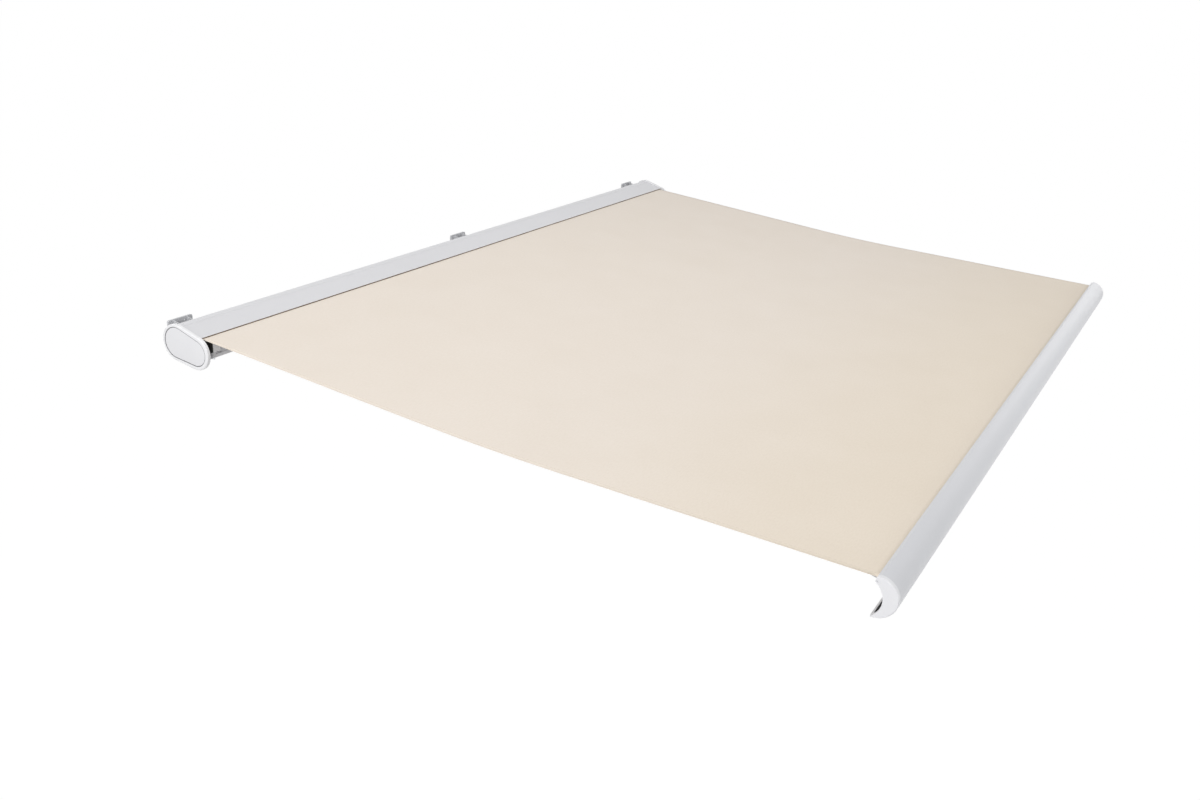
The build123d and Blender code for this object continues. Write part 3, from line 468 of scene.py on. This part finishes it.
# Bristles of 0.15 mm are drawn 1 mm wide.
strands = add(tree, "Mapping", {"Vector": place, "Scale": (1000.0, 60.0, 40.0)})
bristles = add(tree, "TexNoise", {"Vector": strands.outputs[0], "Scale": 1.0, "Detail": 2.0})
# Dark brown from 43341F to 755E3E: painted shadow under the lip.
tint = add(tree, "Mix", {0: bristles.outputs[0], 6: linear("43341F"), 7: linear("755E3E")}, data_type="RGBA")
tree.links.new(tint.outputs[2], shader.inputs["Base Color"])
bump = add(tree, "Bump", {"Height": bristles.outputs[0], "Strength": 0.5, "Distance": 0.0006})
tree.links.new(bump.outputs[0], shader.inputs["Normal"])
shader.inputs["Roughness"].default_value = 0.9
bm = bmesh.new()
pile_top = lip + LIP_ROUND * down_top + BRUSH_FRONT * along_top
pile_tip = lip + (TOP_WALL + BRUSH_HEIGHT) * down_top + BRUSH_FRONT * along_top
corners = [lip + LIP_ROUND * down_top, pile_top, pile_tip, pile_tip - BRUSH_THICKNESS * along_top]
corners += [corners[-1] - BRUSH_HEIGHT * down_top, lip + TOP_WALL * down_top]
pull(bm, [spot(bm, corner) for corner in corners], -row_half, row_half)
keep_piece(bm, "lip_brush_painted_shadow", lip_pile_painted_shadow, "cassette")

# Wall brackets and clamps: lengths of aluminium extrusion, sawn, drilled and then coated, bolted to
# the wall. Every sawn or drilled edge is broken by half a millimetre. The silver grey powder looks
# duller and cooler than the white beside it.
EDGE_BREAK = 0.0005
CAD_MERGE = 1e-5
FLAT_ANGLE = math.radians(0.5)
bracket_coat = dimpled("silver_grey_powder_coat", "CFD0D3", roughness=0.45, peel=0.1)


def dressed(node, material, body, edge=EDGE_BREAK, sharp=40):
    """A copy of a machined or cast node with its edges broken, which then stands for it."""
    bm = bmesh.new()
    bm.from_mesh(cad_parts[node].data)
    bmesh.ops.remove_doubles(bm, verts=bm.verts, dist=CAD_MERGE)
    bmesh.ops.dissolve_limit(bm, angle_limit=FLAT_ANGLE, verts=bm.verts, edges=bm.edges)
    made = place_piece(bm, node + "_finished", material, body, sharp, edge)
    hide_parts(node)


for node in ("left_wall_bracket", "centre_wall_bracket", "right_wall_bracket", "bracket_clamps"):
    dressed(node, bracket_coat, "cassette")

# Screws and pins: turned from steel rod and zinc plated; the screws hold the castings and caps, the
# pins carry the arms' hinges. Bright zinc looks cold and cloudy: its shine changes in patches.
zinc_steel, tree, shader, place = new_finish("bright_zinc_plated_steel")
# The cloudy patches are 6 mm wide, about a screw head.
cloud = add(tree, "TexNoise", {"Vector": place, "Scale": 160.0, "Detail": 3.0})
tint = add(tree, "Mix", {0: cloud.outputs[0], 6: linear("A9ABAE"), 7: linear("C9CBCE")}, data_type="RGBA")
tree.links.new(tint.outputs[2], shader.inputs["Base Color"])
patch = add(tree, "MapRange", {0: cloud.outputs[0], 3: 0.26, 4: 0.42})
tree.links.new(patch.outputs[0], shader.inputs["Roughness"])
shader.inputs["Metallic"].default_value = 1.0


def paint(material, *nodes):
    """Gives CAD nodes their finish and leaves their shape alone."""
    for node in nodes:
        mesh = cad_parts[node].data
        mesh.materials.clear()
        mesh.materials.append(material)


paint(zinc_steel, "cap_screws", "bracket_clamp_screws", "shoulder_screws", "tilt_screws", "wrist_screws")
for pin in ("shoulder_pin", "elbow_pin", "wrist_pin"):
    paint(zinc_steel, "left_" + pin, "right_" + pin)

# Shoulder brackets, knuckles, elbow and wrist castings: sand-cast aluminium under a light grey
# powder coat, bored for the pins. The sand leaves a grain, so they look rougher than the extrusions.
CASTING_ROUND = 0.0012
grey_cast = dimpled("grey_powder_coated_casting", "D0D0D3", roughness=0.48, peel=0.2)
for side in ("left_", "right_"):
    dressed(side + "shoulder_bracket", grey_cast, "cassette", edge=CASTING_ROUND)
    for casting in ("shoulder_knuckle", "elbow_fork", "elbow_eye", "wrist_eye", "wrist_bracket"):
        paint(grey_cast, side + casting)

# Mouth plugs and shoulder covers: a moulded plug with a wing closes each end of the cassette's mouth,
# and a moulded cover hides the outer wing of the shoulder casting. Outlines are (depth, height).
PLUG_CLEAR = 0.0006
PLUG_EDGE = 0.0012
COVER_EDGE = 0.0020
COVER_SIDE = 1.9010
COVER_END = 1.8630
MOULD_SHARP = 50
bracket_side = -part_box("left_shoulder_bracket")[0].x + PLUG_CLEAR
plug_floor = [(y, foot + (y - lip_y) * slope + inside + PLUG_CLEAR) for y in (-0.1608, -0.1445)]
plug = plug_floor + [(-0.1445, 0.0270), (-0.1980, 0.0190), (-0.1700, -0.0600)]
wing = [(-0.1500, -0.0535), (-0.1500, 0.0240), (-0.1950, 0.0190), (-0.1900, -0.0535)]
cover = [(-0.1500, -0.0535), (-0.1500, -0.0040), (-0.1780, -0.0010), (-0.1905, -0.0100), (-0.1905, -0.0535)]
# Painted shade: the plugs are black ABS with little gloss, so they stay nearly black and stand in for the
# shade in the slot beside the end cap.
black_abs_painted_shade = dimpled("black_abs_plug_painted_shade", "121213", roughness=0.7, shine=0.2)
# Painted light: the cover is whiter than the castings' grey paint, so that its face, shaded by the cloth,
# reads light. It has a soft highlight along its rounded edges.
white_asa_painted_light = dimpled("white_asa_cover_painted_light", "F0F0F2", roughness=0.45)
mouldings = [
    ("mouth_plug", plug, row_half - PLUG_CLEAR, bracket_side, PLUG_EDGE, black_abs_painted_shade, "dark_plastic"),
    ("mouth_plug_wing", wing, bracket_side, COVER_SIDE + PLUG_CLEAR, PLUG_EDGE, black_abs_painted_shade, "dark_plastic"),
    ("shoulder_cover", cover, COVER_SIDE, COVER_END, COVER_EDGE, white_asa_painted_light, "casting_paint"),
]
rounding = {"offset_type": "OFFSET", "affect": "EDGES", "segments": 3, "profile": 0.5, "material": -1}
for side, word in ((-1, "left_"), (1, "right_")):
    for name, corners, start, end, edge, material, slot in mouldings:
        bm = bmesh.new()
        pull(bm, [spot(bm, Vector((0, y, z))) for y, z in corners], side * start, side * end)
        bmesh.ops.recalc_face_normals(bm, faces=bm.faces)
        bmesh.ops.bevel(bm, geom=bm.edges[:], offset=edge, **rounding)
        keep_piece(bm, word + name, material, "cassette", sharp=MOULD_SHARP)

# Arm tubes: lengths of extruded aluminium tube, pressed onto the castings at both ends. The powder
# is the castings' light grey, but on an extrusion it lies smooth and looks satin.
arm_coat = dimpled("grey_powder_coated_arm", "CDCDD0", roughness=0.38)
for side in ("left_", "right_"):
    paint(arm_coat, side + "upper_arm_tube", side + "forearm_tube")

# Springs, roller and what turns it: coiled springs in the arms, a rolled steel tube, a tubular motor
# with moulded crown, wheel and end plates, and the rods that hold the cloth in its grooves.
spring_steel, tree, shader, place = new_finish("oiled_spring_steel")
# Oil makes the dark steel look wet.
shader.inputs["Base Color"].default_value = linear("6A6B6E")
shader.inputs["Metallic"].default_value = 1.0
shader.inputs["Roughness"].default_value = 0.3
paint(spring_steel, "left_arm_spring", "right_arm_spring")
galvanised, tree, shader, place = new_finish("galvanised_roller_tube")
# Hot-dip zinc sets in crystals, which show as pale and dark flakes about 14 mm wide.
spangle = add(tree, "TexVoronoi", {"Vector": place, "Scale": 70.0})
tint = add(tree, "Mix", {0: spangle.outputs[0], 6: linear("A4A8AC"), 7: linear("BFC3C6")}, data_type="RGBA")
tree.links.new(tint.outputs[2], shader.inputs["Base Color"])
shader.inputs["Metallic"].default_value = 1.0
shader.inputs["Roughness"].default_value = 0.4
paint(galvanised, "roller_tube")
# Sprayed lacquer is the smoothest of the dark finishes and shows a clear highlight.
black_lacquer = dimpled("black_lacquered_motor", "2B2C2E", roughness=0.3)
paint(black_lacquer, "tubular_motor")
# Glass fibres at the surface make the moulded plastic dull. The end plates are given it too: their black is
# painted shade, for the dark inside of the cassette's ends beside the caps.
black_plastic_and_painted_shade = dimpled("black_glass_filled_plastic_and_painted_shade", "1D1D1F", roughness=0.55)
paint(black_plastic_and_painted_shade, "idler_plug", "motor_crown", "motor_drive_wheel", "idler_end_plate", "motor_end_plate")
# Undyed polyester is off-white and a little waxy.
welt_plastic = dimpled("polyester_welt_rod", "D8D2C6", roughness=0.5)
paint(welt_plastic, "roller_welt", "bar_welt")
# Rubber reflects almost nothing: it is the black strip inside the bar's hollow.
seal_rubber = dimpled("black_rubber_seal", "101011", roughness=0.85, shine=0.2)
paint(seal_rubber, "bar_seal")

# Front bar: one hollow aluminium extrusion, crescent-shaped so that it closes round the front of
# the cassette, with a keyhole channel along its nose for the cloth's welt. Its edges are the die's
# and aren't broken. The white coat is a little glossier here and shades evenly round the curve.
bar_white = dimpled("white_powder_coated_front_bar", "D5D6DA", roughness=0.34)
dressed("front_bar_profile", bar_white, "front_bar", edge=0, sharp=25)

# Bar caps: aluminium castings pressed into the ends of the bar, with a tongue that fills its hollow.
# The outer edge has a 5 mm round, nose and tip have soft corners, and a keyhole leads the welt in.
# A plug closes it, coated as the cap: the same satin white powder, a shade paler than on the bar.
BAR_CENTRE = Vector((0, -2.91602, -0.34105))
BAR_HOLLOW = 0.072
BAR_BELLY = BAR_CENTRE + Vector((0, -0.052, 0.007))
BAR_FRONT = 0.069
NOSE_ANGLE = math.radians(129)
TIP_ANGLE = math.radians(239.5)
CROWN_ANGLE = math.radians(97)
BROW = polar(BAR_BELLY, 0.064, math.radians(88))
CAP_CORNER = 0.0035
CORNER_SHARE = 1.3
CAP_EDGE = 0.0013
EDGE_STEPS = 6
EASE_STEPS = 7
TONGUE_MERGE = 2e-6
TONGUE_GAP = 0.0002
CHANNEL = Vector((0, -2.97302, -0.28255))
CHANNEL_BORE = 0.0042
CHANNEL_SLOT = 0.0024
CHANNEL_RISE = math.atan2(0.1167, 1.3732)
KEYHOLE_START = 1.960
KEYHOLE_END = 2.010
STOP_PLAY = 0.0003
STOP_SINK = 0.0003
STOP_NICK = 0.0005
STOP_DEPTH = 0.010
bar_cast = dimpled("white_powder_coated_bar_cap", "E9E9EC", roughness=0.4)


def soft_corner(bm, before, corner, after, steps=5):
    """Rounds the corner between two neighbouring points of an outline."""
    start = corner + CAP_CORNER * (before - corner).normalized()
    end = corner + CAP_CORNER * (after - corner).normalized()
    turns = [k / steps for k in range(steps + 1)]
    return [bm.verts.new(start.lerp(corner, t).lerp(corner.lerp(end, t), t)) for t in turns]


def crescent_outline(bm):
    """The bar's outline as stretches: hollow, tip, belly from below to the crown, brow, nose."""
    turn = CORNER_SHARE * CAP_CORNER / BAR_HOLLOW
    nose, tip = polar(BAR_CENTRE, BAR_HOLLOW, NOSE_ANGLE), polar(BAR_CENTRE, BAR_HOLLOW, TIP_ANGLE)
    hollow = arc(bm, BAR_CENTRE, BAR_HOLLOW, NOSE_ANGLE + turn, TIP_ANGLE - turn)
    low = BAR_BELLY - Vector((0, 0, BAR_FRONT))
    belly = arc(bm, BAR_BELLY, BAR_FRONT, 1.5 * math.pi, CROWN_ANGLE)
    at_tip = soft_corner(bm, hollow[-1].co, tip, low)
    at_nose = soft_corner(bm, BROW, nose, hollow[0].co)
    return [hollow, at_tip, belly, spot(bm, BROW), at_nose]


def bar_cap_plate(bm, side, inner, outer):
    """Plate of the crescent outline whose outer edge is rounded, wide in front and narrow behind."""
    chains = crescent_outline(bm)
    belly = chains[2]
    middle = (len(belly) - 1) / 2
    rounds = {v: CAP_EDGE for chain in chains for v in chain}
    for k, v in enumerate(belly):
        ease = min(1.0, (middle - abs(k - middle)) / EASE_STEPS)
        rounds[v] = CAP_EDGE + (CAP_ROUND - CAP_EDGE) * ease * ease * (3 - 2 * ease)
    rings = [ring(bm, chains, side * inner)]
    flat = [(v.co.copy(), rounds[v]) for chain in chains for v in chain]
    inward = []
    for k in range(len(flat)):
        run = flat[(k + 1) % len(flat)][0] - flat[k - 1][0]
        inward.append(Vector((0, run.z, -run.y)).normalized())
    for k in range(EDGE_STEPS + 1):
        t = math.pi / 2 * k / EDGE_STEPS
        made = [bm.verts.new(co + way * r * (1 - math.cos(t))) for (co, r), way in zip(flat, inward)]
        for v, (co, r) in zip(made, flat):
            v.co.x = side * (outer - r * (1 - math.sin(t)))
        rings.append([bm.edges.new(ends) for ends in zip(made, made[1:] + made[:1])])
    skin(bm, rings)


mouth = Vector((0, math.cos(CHANNEL_RISE), math.sin(CHANNEL_RISE)))
upward = Vector((0, -math.sin(CHANNEL_RISE), math.cos(CHANNEL_RISE)))
throat = math.asin(CHANNEL_SLOT / 2 / CHANNEL_BORE)
for side, node in ((-1, "left_bar_cap"), (1, "right_bar_cap")):
    outer = max(abs(corner.x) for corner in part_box(node))
    bm = bmesh.new()
    bm.from_mesh(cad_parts[node].data)
    bmesh.ops.remove_doubles(bm, verts=bm.verts, dist=TONGUE_MERGE)
    whole = list(bm.verts) + list(bm.edges) + list(bm.faces)
    seam = Vector((side * (row_half - TONGUE_GAP), 0, 0))
    bmesh.ops.bisect_plane(bm, geom=whole, plane_co=seam, plane_no=(side, 0, 0), clear_outer=True)
    bmesh.ops.holes_fill(bm, edges=[e for e in bm.edges if e.is_boundary])
    bar_cap_plate(bm, side, row_half, outer)
    cap = keep_piece(bm, node + "_casting", bar_cast, "front_bar")
    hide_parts(node)

    # The cutter has the keyhole's shape; the boolean comes before the normals and is applied.
    bm = bmesh.new()
    start, end = CHANNEL_RISE + throat, CHANNEL_RISE + 2 * math.pi - throat
    bore = arc(bm, CHANNEL, CHANNEL_BORE, start, end, CIRCLE_STEPS)
    far = CHANNEL + 4 * CHANNEL_BORE * mouth
    outline = [bore, spot(bm, far - CHANNEL_SLOT / 2 * upward), spot(bm, far + CHANNEL_SLOT / 2 * upward)]
    pull(bm, outline, side * KEYHOLE_START, side * KEYHOLE_END)
    bmesh.ops.recalc_face_normals(bm, faces=bm.faces)
    cutter = bpy.data.objects.new(node + "_keyhole", bpy.data.meshes.new(node + "_keyhole"))
    bm.to_mesh(cutter.data)
    bm.free()
    bpy.context.scene.collection.objects.link(cutter)
    hole = cap.modifiers.new("keyhole", "BOOLEAN")
    hole.operation = "DIFFERENCE"
    hole.object = cutter
    hole.solver = "EXACT"
    cap.modifiers.move(cap.modifiers.find("keyhole"), 0)
    with bpy.context.temp_override(object=cap, active_object=cap, selected_objects=[cap]):
        bpy.ops.object.modifier_apply(modifier="keyhole")
    bpy.data.objects.remove(cutter, do_unlink=True)
    bm = bmesh.new()
    bm.from_mesh(cap.data)
    bmesh.ops.remove_doubles(bm, verts=bm.verts, dist=CAD_MERGE)
    bm.to_mesh(cap.data)
    bm.free()
    cap.data.shade_smooth()
    cap.data.set_sharp_from_angle(angle=math.radians(SMOOTH_BELOW))

    # The stop is a round plug pressed into the keyhole, and keeps the welt from creeping out.
    bm = bmesh.new()
    rim = CHANNEL_BORE - STOP_PLAY
    steps = [(rim, row_half - STOP_DEPTH), (rim, outer - STOP_SINK - STOP_NICK)]
    steps.append((rim - STOP_NICK, outer - STOP_SINK))
    skin(bm, [circle(bm, CHANNEL, r, side * x) for r, x in steps])
    keep_piece(bm, node.replace("bar_cap", "welt_stop"), bar_cast, "front_bar")

# Cloth: solution-dyed acrylic in a cream plain weave, finished to shed water. The arms stretch it
# between the roller and the front bar; its side edges are folded under and stitched as hems.
# Spun yarn is matt with a soft sheen, and its shade wanders a little along the threads.
CLOTH_HALF = 1.973
CLOTH_HEM = 0.022
CLOTH_THICKNESS = 0.0006
CLOTH_START = Vector((0, -0.0986, 0.0430))
CLOTH_KINK = Vector((0, -1.5955, -0.1655))
CLOTH_STOP = Vector((0, -2.9687, -0.2822))
KINK_TANGENT = 0.275
HEM_FOLD = 0.0004
RIPPLE = 0.0016
CLOTH_ROWS = 120
CLOTH_COLUMNS = 80
DRAWN_THREAD = 0.003
WAVE_BANDS = 3.18
STITCH_ROWS = (0.004, 0.018)
STITCH_PITCH = 0.008
STITCH_GAP = 0.0025
STITCH_HALF = 0.0009
cloth_finish, tree, shader, place = new_finish("cream_woven_acrylic")
thread = add(tree, "UVMap", uv_map="cut").outputs[0]
# Threads of 0.5 mm are too fine for the picture, so the weave is drawn with threads of 3 mm. A wave
# texture of scale 1 has 3.18 bands to the metre. Slubs are 17 mm long and drawn 6 mm wide instead
# of 1 mm, and the dye wanders over 0.3 m.
threads = {"Vector": thread, "Scale": 1 / (DRAWN_THREAD * WAVE_BANDS), "Distortion": 0.6, "Detail": 1.0}
warp = add(tree, "TexWave", threads, bands_direction="X")
weft = add(tree, "TexWave", threads, bands_direction="Y")
weave = add(tree, "Math", {0: warp.outputs[1], 1: weft.outputs[1]}, operation="MULTIPLY")
spun = add(tree, "Mapping", {"Vector": thread, "Scale": (60.0, 160.0, 1.0)})
yarn = add(tree, "TexNoise", {"Vector": spun.outputs[0], "Scale": 1.0, "Detail": 2.0})
blotch = add(tree, "TexNoise", {"Vector": thread, "Scale": 3.5, "Detail": 3.0})
shade = add(tree, "Mix", {0: blotch.outputs[0], 6: linear("EFE4D7"), 7: linear("F4EADF")}, data_type="RGBA")
thick = add(tree, "MapRange", {0: yarn.outputs[0], 1: 0.35, 2: 0.75, 3: 0.0, 4: 0.25})
slub = add(tree, "Mix", {0: thick.outputs[0], 6: shade.outputs[2], 7: linear("E4D8C8")}, data_type="RGBA")
# Painted shade: from 1.5 m to 2.9 m out, towards the front bar, the cloth's colour is multiplied by a warm
# off-white, so that end is a touch darker and warmer, as cloth looks in less light.
across = add(tree, "SeparateXYZ", {0: thread})
ends = {0: across.outputs[1], 1: 1.5, 2: 2.9, 3: 0.0, 4: 1.0}
painted_shade_ramp = add(tree, "MapRange", ends, interpolation_type="SMOOTHSTEP")
painted_shade_inputs = {0: 1.0, 6: slub.outputs[2], 7: linear("FDFBF5")}
painted_shade_tint = add(tree, "Mix", painted_shade_inputs, data_type="RGBA", blend_type="MULTIPLY")
painted_shade_mix = add(tree, "Mix", {0: painted_shade_ramp.outputs[0], 6: slub.outputs[2], 7: painted_shade_tint.outputs[2]}, data_type="RGBA")
# Two rows of stitches hold each hem: a dotted line 4 mm and 18 mm in from the edge.
from_middle = add(tree, "Math", {0: across.outputs[0]}, operation="ABSOLUTE")
inset = add(tree, "Math", {0: CLOTH_HALF, 1: from_middle.outputs[0]}, operation="SUBTRACT")
pitch = add(tree, "Math", {0: across.outputs[1], 1: STITCH_PITCH}, operation="PINGPONG")
beat = add(tree, "Math", {0: pitch.outputs[0], 1: STITCH_GAP}, operation="GREATER_THAN")
rows = [{0: inset.outputs[0], 1: distance, 2: STITCH_HALF} for distance in STITCH_ROWS]
near_row, far_row = [add(tree, "Math", row, operation="COMPARE").outputs[0] for row in rows]
seam = add(tree, "Math", {0: near_row, 1: far_row}, operation="MAXIMUM")
stitch = add(tree, "Math", {0: seam.outputs[0], 1: beat.outputs[0]}, operation="MULTIPLY")
sewn = add(tree, "Mix", {0: stitch.outputs[0], 6: painted_shade_mix.outputs[2], 7: linear("E0D4C3")}, data_type="RGBA")
tree.links.new(sewn.outputs[2], shader.inputs["Base Color"])
relief = add(tree, "Bump", {"Height": weave.outputs[0], "Strength": 0.22, "Distance": 0.0005})
drawn_in = {"Height": stitch.outputs[0], "Strength": 0.6, "Distance": 0.0006, "Normal": relief.outputs[0]}
pucker = add(tree, "Bump", drawn_in, invert=True)
tree.links.new(pucker.outputs[0], shader.inputs["Normal"])
shader.inputs["Roughness"].default_value = 0.88
shader.inputs["Sheen Weight"].default_value = 0.15
shader.inputs["Sheen Roughness"].default_value = 0.5


def cloth_place(along):
    """Point of the cloth's middle line at a share of the way out, straight on both sides of the kink."""
    before = CLOTH_KINK + KINK_TANGENT * (CLOTH_START - CLOTH_KINK).normalized()
    after = CLOTH_KINK + KINK_TANGENT * (CLOTH_STOP - CLOTH_KINK).normalized()
    y = CLOTH_START.y + along * (CLOTH_STOP.y - CLOTH_START.y)
    if y > before.y:
        return CLOTH_START.lerp(before, (y - CLOTH_START.y) / (before.y - CLOTH_START.y))
    if y < after.y:
        return CLOTH_STOP.lerp(after, (y - CLOTH_STOP.y) / (after.y - CLOTH_STOP.y))
    turn = (y - before.y) / (after.y - before.y)
    return before.lerp(CLOTH_KINK, turn).lerp(CLOTH_KINK.lerp(after, turn), turn)


def hem_stations():
    """Places across the cloth as (place along X, drop below the sheet, place on the flat cut)."""
    fold, hem = CLOTH_HALF - HEM_FOLD, CLOTH_HALF - CLOTH_HEM
    half = [
        (hem, 2 * CLOTH_THICKNESS, CLOTH_HALF + CLOTH_HEM),
        (fold, 2 * CLOTH_THICKNESS, CLOTH_HALF + HEM_FOLD),
        (CLOTH_HALF, CLOTH_THICKNESS, CLOTH_HALF),
        (fold, 0, fold),
        (hem, 0, hem),
    ]
    left = [(-x, drop, -flat) for x, drop, flat in half]
    middle = [hem * (2 * k / CLOTH_COLUMNS - 1) for k in range(1, CLOTH_COLUMNS)]
    return left + [(x, 0, x) for x in middle] + half[::-1]


def ripple(x, along):
    """Slight waviness of cloth under tension, none where it is held."""
    broad = noise.noise(Vector((0.9 * x, 3.2 * along, 0.0)))
    fine = noise.noise(Vector((2.2 * x, 5.5 * along, 7.0)))
    return RIPPLE * (broad + 0.5 * fine) * math.sin(math.pi * along) ** 0.5


def keep_cloth(bm, cut, flat_place, name, body, thickness):
    """Writes each vertex's place on the flat cut as UV and gives the sheet its thickness."""
    for face in bm.faces:
        for corner in face.loops:
            corner[cut].uv = flat_place[corner.vert]
    sheet = keep_piece(bm, name, cloth_finish, body, sharp=180, merge=False)
    solid = sheet.modifiers.new("cloth_thickness", "SOLIDIFY")
    solid.thickness = thickness
    solid.offset = 0
    return sheet


stations = hem_stations()
bm = bmesh.new()
cut = bm.loops.layers.uv.new("cut")
bmesh.ops.create_grid(bm, x_segments=len(stations) - 1, y_segments=CLOTH_ROWS, size=0.5)
middle_line = [cloth_place(k / CLOTH_ROWS) for k in range(CLOTH_ROWS + 1)]
length = sum((there - here).length for here, there in zip(middle_line, middle_line[1:]))
flat_place = {}
for v in bm.verts:
    x, drop, flat = stations[round((v.co.x + 0.5) * (len(stations) - 1))]
    along = 0.5 - v.co.y
    v.co = cloth_place(along) + Vector((x, 0, ripple(x, along) - drop))
    flat_place[v] = (flat, along * length)
cloth = keep_cloth(bm, cut, flat_place, "awning_cloth", "cassette", CLOTH_THICKNESS)
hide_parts("cloth_cover")
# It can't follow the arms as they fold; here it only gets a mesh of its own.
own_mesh(cloth)

# The wound part: three and a quarter turns of the same cloth, held in the roller's groove by a welt
# and wound so tight that the layers press each other flatter.
ROLL_START = 0.0393
ROLL_END = 0.0417
ROLL_TURNS = 3.25
ROLL_STEPS = 64
ROLL_PRESSED = 0.7
roller_low, roller_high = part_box("roller_tube")
roll_centre = Vector((0, (roller_low.y + roller_high.y) / 2, (roller_low.z + roller_high.z) / 2))
leave = math.atan2(CLOTH_START.z - roll_centre.z, CLOTH_START.y - roll_centre.y)
wound_length = 2 * math.pi * ROLL_TURNS * (ROLL_START + ROLL_END) / 2
bm = bmesh.new()
cut = bm.loops.layers.uv.new("cut")
bmesh.ops.create_grid(bm, x_segments=2, y_segments=int(ROLL_TURNS * ROLL_STEPS), size=0.5)
flat_place = {}
for v in bm.verts:
    along = v.co.y + 0.5
    radius = ROLL_START + along * (ROLL_END - ROLL_START)
    angle = leave + 2 * math.pi * ROLL_TURNS * (1 - along)
    x = 2 * v.co.x * CLOTH_HALF
    v.co = polar(roll_centre, radius, angle) + Vector((x, 0, 0))
    flat_place[v] = (x, -wound_length * (1 - along))
roll = keep_cloth(bm, cut, flat_place, "wound_part_of_cloth", "roller", CLOTH_THICKNESS * ROLL_PRESSED)
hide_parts("wound_cloth")
